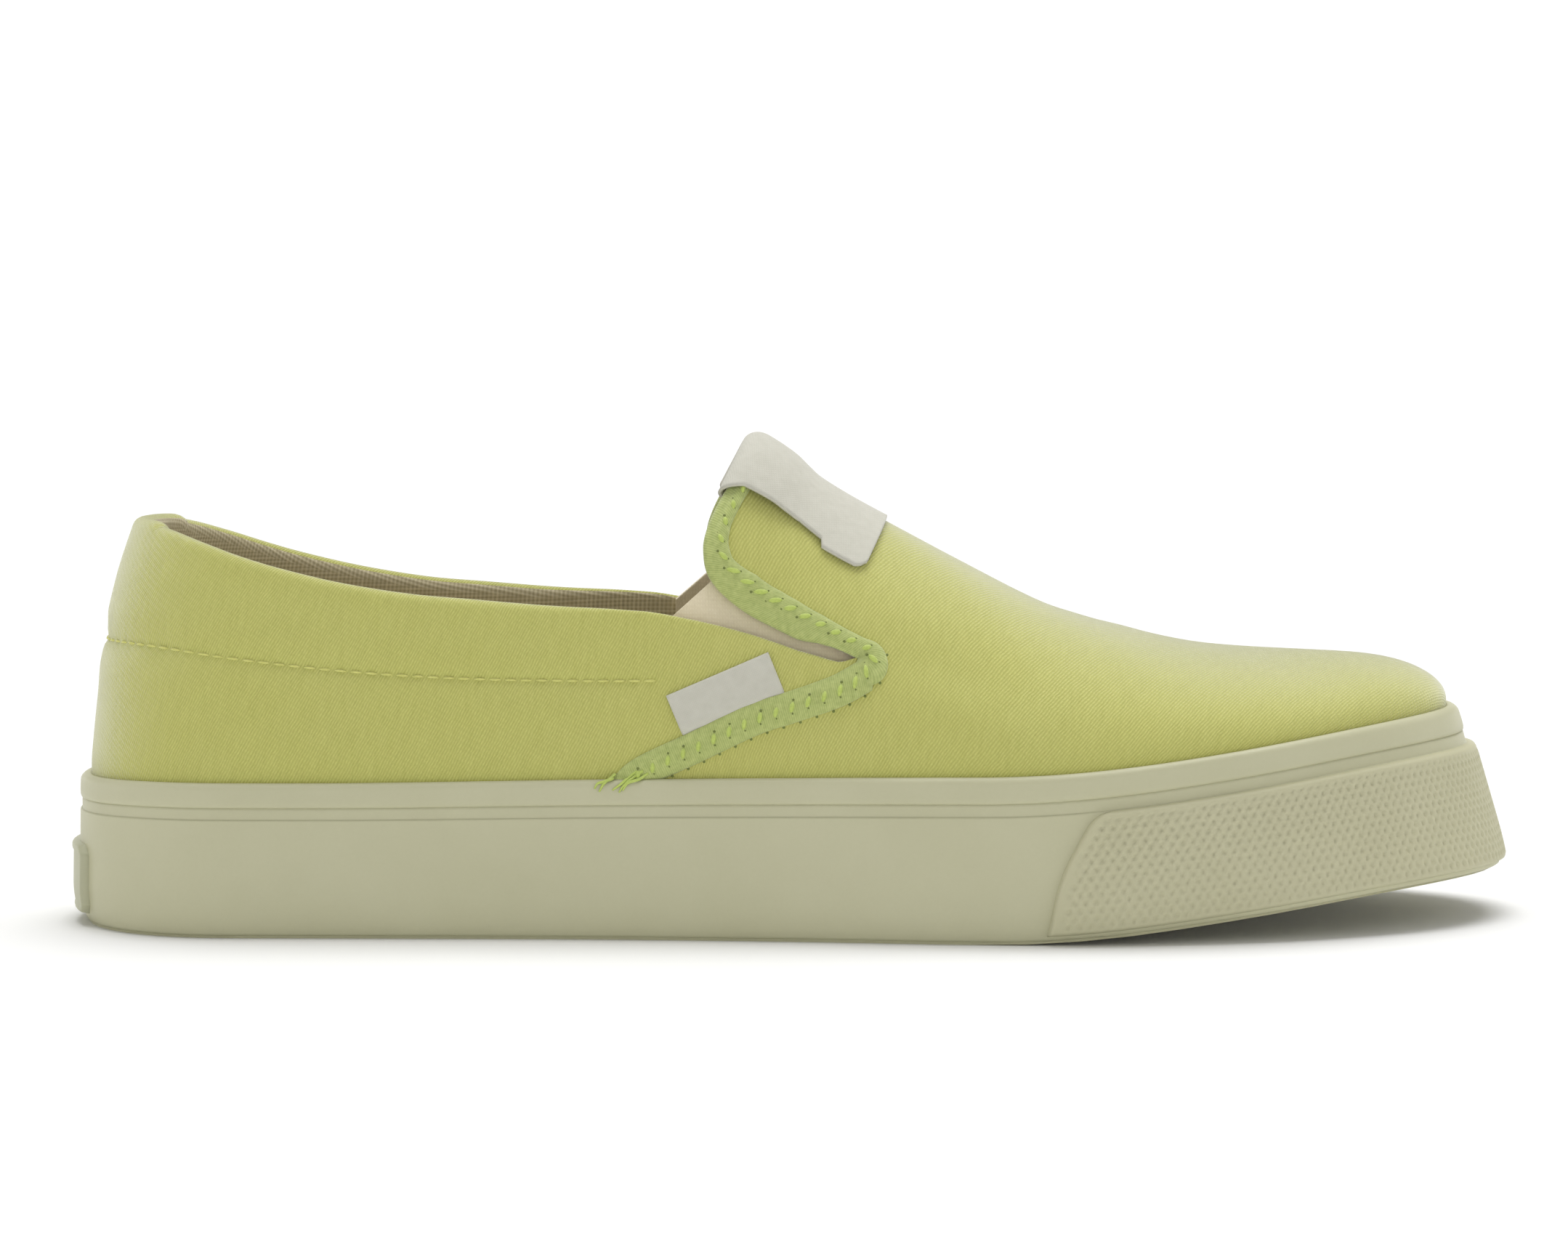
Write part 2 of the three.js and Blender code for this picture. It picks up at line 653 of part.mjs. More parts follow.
function makeFoxing() {
  const wall = wallHeights(FOXING_LIFT, WALL_TOP).map((h) => [0, h, true]);
  return soleBand([
    [-FOXING_THICKNESS, FOXING_LIFT],
    [-FOXING_THICKNESS, OUTSOLE_THICKNESS],
    [-FOXING_THICKNESS, STRIP_FOOT - GAP],
    [-BAND_RECESS, STRIP_FOOT - GAP],
    [-BAND_RECESS, WALL_TOP],
    ...wall.reverse(),
  ]);
}

function makeStrip() {
  return soleBand([
    [-FOXING_THICKNESS, STRIP_FOOT],
    [-STRIP_BEVEL, STRIP_FOOT],
    [0, STRIP_FOOT + STRIP_BEVEL],
    [0, SOLE_HEIGHT - STRIP_ROUND],
    [-ROUND_MIDDLE * STRIP_ROUND, SOLE_HEIGHT - ROUND_MIDDLE * STRIP_ROUND],
    [-STRIP_ROUND, SOLE_HEIGHT],
    [-FOXING_THICKNESS, SOLE_HEIGHT],
  ]);
}

// A skin of the given thickness over the foxing's main wall.
function overFoxing(thickness, from, to) {
  const heights = wallHeights(from, to);
  return soleBand([
    ...heights.map((h) => [GAP + thickness, h, true]),
    ...heights.reverse().map((h) => [GAP, h, true]),
  ]);
}

// The grained rubber round the toe, with its rear edges leaning forward.
function makeBumper() {
  const from = FOXING_LIFT + BUMPER_LIFT;
  const height = WALL_TOP - from;
  const edge = new THREE.SplineCurve(
    BUMPER_END.map((row) => {
      const x = row.at * SOLE_LENGTH;
      return new THREE.Vector2(x, spring(x) + from + row.rise * height);
    }),
  ).getPoints(BUMPER_END_STEPS);
  const corner = edge[edge.length - 1];
  const rounded = edge.filter((p) => p.y < corner.y - BUMPER_CORNER);
  const front = 2 * SOLE_LENGTH;
  const cut = ROUND_MIDDLE * BUMPER_CORNER;
  const outline = [
    [edge[0].x, -SOLE_HEIGHT],
    [front, -SOLE_HEIGHT],
    [front, SKY],
    [corner.x + BUMPER_CORNER, SKY],
    [corner.x + BUMPER_CORNER, corner.y + GAP],
    [corner.x + cut, corner.y - cut],
    ...rounded.reverse().map((p) => [p.x, p.y]),
  ];
  return overFoxing(BUMPER_THICKNESS, from, WALL_TOP).intersect(sidePrism(outline));
}

// The small plate at the back of the heel.
function makeHeelTab() {
  const shape = new THREE.Shape();
  const [low, high] = [TAB_LIFT, TAB_LIFT + TAB_HEIGHT];
  const mid = centreLine(0);
  const [left, right] = [mid - TAB_WIDTH / 2, mid + TAB_WIDTH / 2];
  const corners = [
    [left + TAB_CORNER, low],
    [right - TAB_CORNER, low],
    [right, low + TAB_CORNER],
    [right, high - TAB_CORNER],
    [right - TAB_CORNER, high],
    [left + TAB_CORNER, high],
    [left, high - TAB_CORNER],
    [left, low + TAB_CORNER],
  ];
  corners.forEach(([y, z], i) => (i ? shape.lineTo(y, z) : shape.moveTo(y, z)));
  const block = new THREE.ExtrudeGeometry(shape, {
    depth: BALL_WIDTH,
    bevelEnabled: false,
    steps: 1,
  });
  block.rotateX(Math.PI / 2);
  block.rotateZ(Math.PI / 2);
  block.translate(-BALL_WIDTH / 2, 0, 0);
  const skin = overFoxing(TAB_THICKNESS, low - GAP, high + GAP);
  return skin.intersect(toSolid(block));
}

// The rubber sole inside the foxing, with grooves across its tread.
function makeOutsole() {
  const inward = -FOXING_THICKNESS - GAP;
  const body = solePlate([
    [inward, 0],
    [inward, FOXING_LIFT],
    [inward, OUTSOLE_THICKNESS],
  ]);
  const grooves = [];
  for (const zone of TREAD_ZONES) {
    const [from, to] = [zone.from * SOLE_LENGTH, zone.to * SOLE_LENGTH];
    const count = Math.floor((to - from) / TREAD_PITCH);
    for (let i = 0; i <= count; i++) {
      const x = from + i * TREAD_PITCH;
      const [low, high] = [-SOLE_HEIGHT, SOLE_HEIGHT + TOE_SPRING];
      const [rear, front] = [x - TREAD_GROOVE / 2, x + TREAD_GROOVE / 2];
      grooves.push(
        sidePrism([[rear, low], [front, low], [front, high], [rear, high]]),
      );
    }
  }
  const field = solePlate([
    [-TREAD_RIM, -TREAD_DEPTH],
    [-TREAD_RIM, TREAD_DEPTH],
  ]);
  return body.subtract(Manifold.union(grooves).intersect(field));
}

function makeInsole() {
  const inward = -UPPER_INSET - WALL - GAP;
  const foot = OUTSOLE_THICKNESS + GAP;
  return solePlate([
    [inward, foot],
    [inward, foot + INSOLE_THICKNESS],
  ]);
}

const shoe = new THREE.Group();
shoe.name = "shoe";

const LOOKS = {
  canvas: { color: 0xb9ba63, roughness: 0.92, metalness: 0 },
  tape: { color: 0xa0aa67, roughness: 0.85, metalness: 0 },
  elastic: { color: 0xc5c196, roughness: 0.85, metalness: 0 },
  label: { color: 0xd8d5c5, roughness: 0.8, metalness: 0 },
  rubber: { color: 0xb2af8c, roughness: 0.6, metalness: 0 },
  grained: { color: 0xb7b495, roughness: 0.7, metalness: 0 },
  tab: { color: 0xadad91, roughness: 0.6, metalness: 0 },
  tread: { color: 0xa9a684, roughness: 0.75, metalness: 0 },
  lining: { color: 0xaaa182, roughness: 0.9, metalness: 0 },
};

// Cuts between thin skins can leave specks without volume and edges shorter than any real detail.
function withoutSpecks(solid) {
  const bodies = solid.simplify(FINEST).decompose();
  return Manifold.union(bodies.filter((body) => body.volume() > SPECK));
}

function addPiece(name, solid, look) {
  const { vertProperties, triVerts, numProp } = withoutSpecks(solid).getMesh();
  const places = [];
  for (let i = 0; i < vertProperties.length; i += numProp)
    places.push(...vertProperties.slice(i, i + 3));
  const geometry = new THREE.BufferGeometry();
  geometry.setAttribute("position", new THREE.Float32BufferAttribute(places, 3));
  geometry.setIndex(Array.from(triVerts));
  geometry.computeVertexNormals();
  const mesh = new THREE.Mesh(geometry, new THREE.MeshStandardMaterial(look));
  mesh.name = name;
  shoe.add(mesh);
}

addPiece("outsole", makeOutsole(), LOOKS.tread);
addPiece("foxing", makeFoxing(), LOOKS.rubber);
addPiece("foxing_strip", makeStrip(), LOOKS.rubber);
addPiece("toe_bumper", makeBumper(), LOOKS.grained);
addPiece("heel_tab", makeHeelTab(), LOOKS.tab);
addPiece("insole", makeInsole(), LOOKS.lining);
addPiece("upper", makeUpper(), LOOKS.canvas);
addPiece("gore_outer", makeGore(-1), LOOKS.elastic);
addPiece("gore_inner", makeGore(1), LOOKS.elastic);
addPiece("binding", makeBinding(), LOOKS.tape);
addPiece("tongue_label", makeTongueLabel(), LOOKS.label);
addPiece("side_tag", makeSideTag(), LOOKS.label);

// The origin lies under the middle of the whole shoe.
const bounds = new THREE.Box3().setFromObject(shoe);
const middle = bounds.getCenter(new THREE.Vector3());
shoe.position.set(-middle.x, -middle.y, -bounds.min.z);

export default shoe;
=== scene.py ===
import math

import bmesh
import bpy
import numpy as np
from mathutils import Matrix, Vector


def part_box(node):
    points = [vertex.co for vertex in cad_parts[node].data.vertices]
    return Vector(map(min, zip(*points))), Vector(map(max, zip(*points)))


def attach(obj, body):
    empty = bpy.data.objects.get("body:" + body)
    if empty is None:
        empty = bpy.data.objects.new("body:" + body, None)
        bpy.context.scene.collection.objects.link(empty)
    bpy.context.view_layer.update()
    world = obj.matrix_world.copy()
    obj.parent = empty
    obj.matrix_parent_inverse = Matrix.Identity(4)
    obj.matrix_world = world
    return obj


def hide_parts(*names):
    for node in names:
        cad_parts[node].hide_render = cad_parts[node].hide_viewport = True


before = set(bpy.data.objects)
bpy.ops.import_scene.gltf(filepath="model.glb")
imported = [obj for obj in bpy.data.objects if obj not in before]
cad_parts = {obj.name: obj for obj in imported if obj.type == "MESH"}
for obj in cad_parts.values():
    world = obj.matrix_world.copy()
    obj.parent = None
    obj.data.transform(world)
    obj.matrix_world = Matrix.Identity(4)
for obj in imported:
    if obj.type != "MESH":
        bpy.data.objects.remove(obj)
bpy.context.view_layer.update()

# A low slip-on canvas sneaker for the right foot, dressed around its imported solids.
# Sizes are in millimetres, in the solids' own unshifted frame: X from the heel's ground line to the toe,
# +Y to the inner side, +Z up. place() brings them into the row's frame, in metres.
MM = 0.001

# The solids' sizes
SOLE_LENGTH = 289.0
BALL_WIDTH = 103.0
SOLE_HEIGHT = 33.0
TOE_SPRING = 9.8
TOE_FLARE = 9.6
SIDE_FLARE = 0.5
EDGE_ROLL = 1.8
EDGE_ROLL_HEIGHT = 9.0
TOE_EDGE_ROLL = 0.5
FOXING_THICKNESS = 1.7
FOXING_LIFT = 0.5
STRIP_HEIGHT = 5.2
BAND_HEIGHT = 2.5
BAND_RECESS = 0.4
OUTSOLE_THICKNESS = 17.7
BUMPER_THICKNESS = 1.1
BUMPER_LIFT = 0.9
BUMPER_CORNER = 3.0
TAB_THICKNESS = 1.3
TAB_WIDTH = 36.0
TAB_HEIGHT = 15.5
TAB_LIFT = 2.6
TAB_CORNER = 2.2
UPPER_RISE = 63.5
HEEL_RISE = 51.4
SLIT_RISE = 23.2
WALL = 1.8
COLLAR_PADDING = 2.4
INSOLE_THICKNESS = 3.6
GORE_THICKNESS = 1.1
GORE_REACH = 10.4
GORE_TURN = 7.5
GORE_RISE = 45.5
BINDING_WIDTH = 5.6
LABEL_THICKNESS = 0.6
LABEL_TURN_IN = 9.0
TAG_THICKNESS = 0.7
TAG_LENGTH = 21.6
TAG_FROM_SLIT = 15.2
TAG_HEIGHT = 8.5
GAP = 0.3
UPPER_INSET = FOXING_THICKNESS + GAP
STRIP_FOOT = SOLE_HEIGHT - STRIP_HEIGHT
WALL_TOP = STRIP_FOOT - BAND_HEIGHT


def table(columns, rows):
    """A table as one array for each named column."""
    return dict(zip(columns.split(), np.array(rows, float).T))


# The sole's plan, in shares of the length, the ball width and the sole's height.
PLAN = table(
    "at centre half top",
    [
        (0.0, -0.02, 0.36, 0.9),
        (0.06, -0.021, 0.363, 0.92),
        (0.2, -0.027, 0.362, 0.925),
        (0.36, -0.048, 0.355, 0.95),
        (0.5, -0.05, 0.388, 0.97),
        (0.6, -0.024, 0.453, 0.985),
        (0.7, 0.006, 0.5, 0.993),
        (0.8, 0.04, 0.485, 0.995),
        (0.9, 0.075, 0.452, 0.993),
        (1.0, 0.105, 0.43, 0.993),
    ],
)
SPRING_SPAN = (0.624, 1.0)
FLARE_SPAN = (0.74, 1.0)
ROLL_SPAN = (0.7, 0.95)
HEEL_ROUND = (0.12, 2.15)
TOE_ROUND = (0.21, 2.2)
# The last's ribs: crown in shares of the upper's rise, and the rib's two powers.
RIBS = table(
    "at crown steep round",
    [
        (0.0, 1.38, 1.5, 2.0),
        (0.15, 1.41, 1.5, 2.0),
        (0.3, 1.39, 1.5, 2.0),
        (0.4, 1.25, 1.6, 2.0),
        (0.476, 1.005, 1.65, 1.95),
        (0.542, 0.808, 1.7, 1.95),
        (0.6, 0.662, 1.75, 1.95),
        (0.66, 0.509, 1.85, 2.0),
        (0.72, 0.391, 1.95, 2.05),
        (0.79, 0.28, 2.1, 2.15),
        (0.87, 0.211, 2.3, 2.3),
        (0.94, 0.175, 2.4, 2.4),
        (1.0, 0.16, 2.4, 2.4),
    ],
)
SPINE_HEEL = 0.14
SPINE_TOE = 0.86
# The collar's side view line, from the slit's corner (0) to the heel (1).
COLLAR = table(
    "at rise",
    [(-0.2, 1.0), (0.03, 1.0), (0.0616, 0.945), (0.09, 0.855), (0.118, 0.76), (0.15, 0.665),
     (0.189, 0.57), (0.237, 0.487), (0.28, 0.44), (0.333, 0.385), (0.38, 0.348), (0.419, 0.307),
     (0.472, 0.205), (0.5425, 0.0)],
)
# The vamp's rear edge, from the slit's corner (0) to the top of the vamp (1).
FLAP = table(
    "at rise",
    [(0.5425, 0.0), (0.52, 0.08), (0.4967, 0.163), (0.4691, 0.268), (0.4482, 0.4),
     (0.4428, 0.513), (0.4446, 0.618), (0.4563, 0.787), (0.478, 1.0), (0.498, 1.2)],
)
# The upper edge of the binding's lower run, as shares of the slit's rise.
LOWER_RUN = table(
    "at rise",
    [(0.541, 0.945), (0.5233, 0.828), (0.495, 0.711), (0.467, 0.6), (0.4277, 0.375),
     (0.3918, 0.168), (0.377, 0.01), (0.366, -0.14)],
)
GORE_REAR = 0.415
GORE_DEPTH = 0.75
NOSE_BULGE = 0.22
BUMPER_END = table("rise at", [(0, 0.668), (0.5, 0.678), (1, 0.7)])
# The quilting row: rise in millimetres over the foxing's edge.
QUILT = table(
    "at rise",
    [(0.0, 27.2), (0.06, 26.4), (0.12, 24.2), (0.18, 22.2), (0.24, 20.7), (0.3, 19.7),
     (0.36, 19.2), (0.42, 19.0)],
)


def look_up(rows, column, share, key="at"):
    """Smooth curve through a column, by Catmull-Rom with the ends held."""
    at, value = rows[key], rows[column]
    share = np.clip(share, at[0], at[-1])
    last = len(at) - 1
    k = np.clip(np.searchsorted(at, share, side="left") - 1, 0, last - 1)
    before = np.maximum(np.arange(last + 1) - 1, 0)
    after = np.minimum(np.arange(last + 1) + 1, last)
    slope = (value[after] - value[before]) / (at[after] - at[before])
    width = at[k + 1] - at[k]
    t = (share - at[k]) / width
    return (
        value[k] * (2 * t**3 - 3 * t**2 + 1)
        + value[k + 1] * (3 * t**2 - 2 * t**3)
        + slope[k] * width * (t**3 - 2 * t**2 + t)
        + slope[k + 1] * width * (t**3 - t**2)
    )


def ease(start, stop, value):
    t = np.clip((value - start) / (stop - start), 0, 1)
    return t * t * (3 - 2 * t)


def rounded(edge, radius):
    """How high a rounded edge stands, from 0 on the edge to 1 at the radius and further in."""
    return np.sqrt(np.clip(1 - (1 - np.clip(edge / radius, 0, 1)) ** 2, 0, 1))


def unit(vectors):
    return vectors / np.maximum(np.linalg.norm(vectors, axis=-1, keepdims=True), 1e-12)


def between(values, row, column):
    """Reads a grid of numbers or points at fractional rows and columns."""
    i = np.clip(row.astype(int), 0, values.shape[0] - 2)
    j = np.clip(column.astype(int), 0, values.shape[1] - 2)
    a, b = row - i, column - j
    if values.ndim > 2:
        a, b = a[..., None], b[..., None]
    low = values[i, j] * (1 - a) + values[i + 1, j] * a
    high = values[i, j + 1] * (1 - a) + values[i + 1, j + 1] * a
    return low * (1 - b) + high * b


# The sole's outline and side


def spring(x):
    return TOE_SPRING * ease(*SPRING_SPAN, x / SOLE_LENGTH)


def flare(x):
    return SIDE_FLARE + (TOE_FLARE - SIDE_FLARE) * ease(*FLARE_SPAN, x / SOLE_LENGTH)


def edge_roll(x, height):
    most = EDGE_ROLL + (TOE_EDGE_ROLL - EDGE_ROLL) * ease(*ROLL_SPAN, x / SOLE_LENGTH)
    below = 1 - np.clip(height / EDGE_ROLL_HEIGHT, 0, 1)
    return most * below * below


def sole_top(x):
    return SOLE_HEIGHT * look_up(PLAN, "top", x / SOLE_LENGTH)


def edge_height(x):
    return spring(x) + sole_top(x)


def centre_line(x):
    return BALL_WIDTH * look_up(PLAN, "centre", x / SOLE_LENGTH)


def crown_height(x):
    return edge_height(x) + UPPER_RISE * look_up(RIBS, "crown", x / SOLE_LENGTH)


def end_round(distance, length, power):
    t = 1 - np.minimum(distance / (length * SOLE_LENGTH), 1)
    return np.maximum(1 - t**power, 0) ** (1 / power)


def half_width(x):
    closed = end_round(x, *HEEL_ROUND) * end_round(SOLE_LENGTH - x, *TOE_ROUND)
    return BALL_WIDTH * look_up(PLAN, "half", x / SOLE_LENGTH) * closed


def outline_x(turn):
    return SOLE_LENGTH * (1 - np.cos(np.pi * turn)) / 2


def outline_point(turn):
    """Ground outline: turn 0 to 1 runs from the heel along the outer side to the toe, 1 to 2 runs back."""
    x = outline_x(turn)
    side = np.where(turn % 2 <= 1, -1, 1)
    return np.stack([x, centre_line(x) + side * half_width(x)], -1)


def outward_normal(turn):
    step = 1e-3
    along = outline_point(turn + step) - outline_point(turn - step)
    return unit(np.stack([along[..., 1], -along[..., 0]], -1))


def sole_point(turn, outward, height):
    """A point of the sole's side: out from the ground outline, up in shares of the sole's height."""
    turn, outward, height = np.broadcast_arrays(turn, outward, height)
    base = outline_point(turn)
    share = height / SOLE_HEIGHT
    reach = outward - flare(base[..., 0]) * share
    flat = base + outward_normal(turn) * reach[..., None]
    x = np.clip(flat[..., 0], 0, SOLE_LENGTH)
    return np.concatenate([flat, (spring(x) + share * sole_top(x))[..., None]], -1)


def wall_point(turn, outward, height):
    """The same with the wall's rolled bottom edge."""
    return sole_point(turn, outward - edge_roll(outline_x(turn), height), height)


# The last


def spine_at(x):
    """Where along the shoe the rib from a place on the outline meets the ridge."""
    return SOLE_LENGTH * (SPINE_HEEL + (SPINE_TOE - SPINE_HEEL) * x / SOLE_LENGTH)


def upper_point(turn, climb):
    """The upper's outer face: climb 0 is the foxing's edge and 1 is the ridge."""
    turn, climb = np.broadcast_arrays(turn, climb)
    foot = sole_point(turn, -UPPER_INSET, SOLE_HEIGHT)
    along = outline_x(turn) / SOLE_LENGTH
    spine_x = spine_at(outline_x(turn))
    angle = climb * np.pi / 2
    steep, round_ = look_up(RIBS, "steep", along), look_up(RIBS, "round", along)
    inward = 1 - np.maximum(np.cos(angle), 0) ** (2 / round_)
    rise = np.sin(angle) ** (2 / steep)
    x = foot[..., 0] + (spine_x - foot[..., 0]) * inward
    y = foot[..., 1] + (centre_line(spine_x) - foot[..., 1]) * inward
    z = edge_height(x) + (crown_height(x) - edge_height(x)) * rise
    return np.stack([x, y, z], -1)


def ridge_normal(x):
    step = 0.5
    fall = (crown_height(x + step) - crown_height(x - step)) / (2 * step)
    return unit(np.stack([-fall, 0 * x, 1 + 0 * x], -1))


def upper_normal(turn, climb):
    turn, climb = np.broadcast_arrays(turn, climb)
    step = 2e-3
    up = upper_point(turn, np.minimum(climb + step, 1))
    up = up - upper_point(turn, np.maximum(climb - step, 0))
    near = np.minimum(climb, 1 - step)
    on = upper_point(turn + step, near) - upper_point(turn - step, near)
    normal = unit(np.cross(on, up))
    on_ridge = (climb > 1 - 1e-6)[..., None]
    return np.where(on_ridge, ridge_normal(upper_point(turn, climb)[..., 0]), normal)


def rib_lengths():
    """Arc length up each rib of the outer side, as a grid of turn and climb."""
    turn, climb = np.meshgrid(np.linspace(0, 1, 161), np.linspace(0, 1, 161), indexing="ij")
    points = upper_point(turn, climb)
    steps = np.linalg.norm(np.diff(points, axis=1), axis=-1)
    return np.concatenate([np.zeros((161, 1)), np.cumsum(steps, 1)], 1)


RIB_LENGTHS = rib_lengths()


def rib_length(turn, climb):
    """Arc length from the foxing's edge up to a point."""
    size = len(RIB_LENGTHS) - 1
    folded = np.where(turn % 2 > 1, 2 - turn % 2, turn % 2)
    return between(RIB_LENGTHS, folded * size, np.clip(climb, 0, 1) * size)


def solve_rising(function, target, low, high, steps=26):
    """Where a rising function meets its target, by halving."""
    for _ in range(steps):
        middle = (low + high) / 2
        below = function(middle) < target
        low, high = np.where(below, middle, low), np.where(below, high, middle)
    return (low + high) / 2


def turn_at(x, climb):
    return solve_rising(lambda t: upper_point(t, climb)[..., 0], x, 0 * x, 0 * x + 1, 22)


def side_table():
    """Turn and height on the outer side, over a grid of place along the shoe and climb."""
    x, climb = np.meshgrid(SIDE_X, SIDE_CLIMB, indexing="ij")
    turn = turn_at(x, climb)
    return turn, upper_point(turn, climb)[..., 2]


SIDE_X = np.linspace(80, 240, 321)
SIDE_CLIMB = np.linspace(0, 1, 301)
SIDE_TURN, SIDE_Z = side_table()


def in_table(values, x, climb):
    row = np.clip((x - SIDE_X[0]) / (SIDE_X[1] - SIDE_X[0]), 0, len(SIDE_X) - 1.001)
    column = np.clip(climb * (len(SIDE_CLIMB) - 1), 0, len(SIDE_CLIMB) - 1.001)
    return between(values, row, column)


def on_side(line):
    """Turn and climb of side view points [x, z], on the outer side."""
    x, z = line[..., 0], line[..., 1]
    climb = solve_rising(lambda c: in_table(SIDE_Z, x, c), z, 0 * x, 0 * x + 1, 26)
    return in_table(SIDE_TURN, x, climb), climb


# Side view lines


def resample(line, count):
    """The same line with evenly spaced points."""
    steps = np.linalg.norm(np.diff(line, axis=0), axis=1)
    length = np.concatenate([[0], np.cumsum(steps)])
    at = np.linspace(0, length[-1], count)
    return np.stack([np.interp(at, length, line[:, k]) for k in range(line.shape[1])], 1)


def spline(points, count):
    """Catmull-Rom curve through points, evenly resampled."""
    points = np.array(points, float)
    padded = np.vstack([points[:1], points, points[-1:]])
    t = np.linspace(0, len(points) - 1, 60 * (len(points) - 1) + 1)
    k = np.minimum(t.astype(int), len(points) - 2)
    u = (t - k)[:, None]
    a, b, c, d = (padded[k + i] for i in range(4))
    cubic = u**3 * (-0.5 * a + 1.5 * b - 1.5 * c + 0.5 * d)
    fine = b + 0.5 * u * (c - a) + u * u * (a - 2.5 * b + 2 * c - 0.5 * d) + cubic
    return resample(fine, count)


def side_curve(rows, rise, count=240):
    line = spline(np.stack([rows["at"] * SOLE_LENGTH, rise], 1), count)
    line[:, 1] += edge_height(line[:, 0])
    return line


def shift_line(line, amount):
    """Moves a side view line to its left. Where it bends tighter than the shift, the fold is left out."""
    along = unit(np.gradient(line, axis=0))
    amount = np.broadcast_to(amount, len(line))[:, None]
    moved = line + np.stack([-along[:, 1], along[:, 0]], 1) * amount
    apart = np.linalg.norm(moved[:, None] - line[None], axis=-1).min(1)
    return moved[apart > np.abs(amount[:, 0]) - 0.02]


COLLAR_LINE = side_curve(COLLAR, SLIT_RISE + (HEEL_RISE - SLIT_RISE) * COLLAR["rise"])
FLAP_LINE = side_curve(FLAP, SLIT_RISE + (UPPER_RISE - SLIT_RISE) * FLAP["rise"])
LOWER_LINE = side_curve(LOWER_RUN, SLIT_RISE * LOWER_RUN["rise"])
SLIT = FLAP_LINE[0]
# The quarter's edge lies lower than the slit's corner where it runs in under the tape, in millimetres.
COLLAR_DIP = table("at drop", [(0.4, 0), (0.44, 0.6), (0.47, 1.2), (0.5, 1.9), (0.53, 1.9), (0.5425, 0)])


def collar_edge():
    line = COLLAR_LINE.copy()
    drop = np.interp(line[:, 0] / SOLE_LENGTH, COLLAR_DIP["at"], COLLAR_DIP["drop"])
    line[:, 1] -= drop
    return line


def to_ridge(line):
    """The part of a rising side view line that lies under the ridge, ending on it."""
    over = line[:, 1] - crown_height(line[:, 0])
    k = int(np.argmax(over >= 0))
    share = over[k - 1] / (over[k - 1] - over[k])
    return np.vstack([line[:k], line[k - 1] + (line[k] - line[k - 1]) * share])


VAMP_TOP_X = to_ridge(FLAP_LINE)[-1, 0]


def line_lengths(line):
    return np.concatenate([[0], np.cumsum(np.linalg.norm(np.diff(line, axis=0), axis=1))])


def along_line(line, distance):
    length = line_lengths(line)
    return np.stack([np.interp(distance, length, line[:, k]) for k in range(2)], -1)


# The canvas's own relief over the last


# Soft troughs and ridges: at of the length, rise over the foxing's edge, angle in the
# side view, half length and half width, and how far they stand in (-) or out. Outer and inner side alike.
CREASES = table(
    "at rise angle long wide out",
    [
        (0.6, 21, -12, 16, 6, -0.75),
        (0.625, 11, -28, 15, 4, 0.35),
        (0.655, 15, 62, 13, 4.5, -0.4),
        (0.695, 12, 66, 12, 4, -0.35),
        (0.735, 9, 72, 9, 4.5, -0.25),
        (0.545, 44, -32, 16, 4.5, -0.5),
        (0.5, 38, 20, 9, 4, -0.35),
        (0.46, 9, 28, 12, 4, -0.3),
        (0.33, 9, 8, 20, 4, -0.35),
        (0.2, 12, -6, 22, 4.5, -0.3),
        (0.09, 9, 70, 10, 5, -0.35),
        (0.24, 32, -10, 20, 3, -0.4),
        (0.13, 38, -18, 12, 3, -0.35),
    ],
)
# The padding over the quilting row, the swell under it, how deep the row pulls in, and the puckers along it
PUFF = 0.75
UNDER_PUFF = 0.35
ROW_PULL = 0.55
PUCKER_DEPTH = 0.13
PUCKER_PITCH = 6.3
WAVE_RISE = 0.16
EDGE_PULL = 0.25


def quilt_rise(x):
    return look_up(QUILT, "rise", x / SOLE_LENGTH)


def waves(point):
    """Slow uneven swelling of hand-lasted canvas, from -1 to 1."""
    x, y, z = point[..., 0], point[..., 1], point[..., 2]
    total = np.sin(x / 9.1 + y / 13.7 + 1.3) * np.sin(z / 7.9 - x / 31 + 0.6)
    total = total + 0.8 * np.sin(x / 5.3 - z / 8.3 + y / 11) * np.sin(y / 9.7 + z / 12.1 + 2.1)
    return total / 1.8


def relief(point, is_outer):
    """How far the canvas stands out from the last at a point."""
    x, rise = point[..., 0], point[..., 2] - edge_height(point[..., 0])
    share = x / SOLE_LENGTH
    over = rise - quilt_rise(x)
    padded = 1 - ease(0.36, 0.43, share)
    high = ease(0.5, 6, over) * (1 - 0.6 * ease(12, 26, over))
    quilted = PUFF * high + UNDER_PUFF * np.exp(-(((over + 5) / 4) ** 2)) - ROW_PULL * np.exp(-(over**2))
    phase = 2 * np.pi * (x + 0.6 * point[..., 1]) / PUCKER_PITCH + 0.7 * np.sin(x / 17)
    quilted = quilted + PUCKER_DEPTH * np.cos(phase) * np.exp(-((over / 3.6) ** 2))
    total = padded * quilted + WAVE_RISE * waves(point) * ease(1, 8, rise)
    for k in range(len(CREASES["at"])):
        at, height, angle, long_, wide, out = (CREASES[c][k] for c in CREASES)
        turned = math.radians(angle)
        dx, dz = x - at * SOLE_LENGTH, rise - height - (0 if is_outer else 2.5)
        along = (dx * math.cos(turned) + dz * math.sin(turned)) / long_
        across = (dz * math.cos(turned) - dx * math.sin(turned)) / wide
        total = total + out * np.exp(-(along**2) - across**2)
    # the lasted edge pulls in slightly over the foxing
    return total - EDGE_PULL * np.exp(-rise / 2.2)


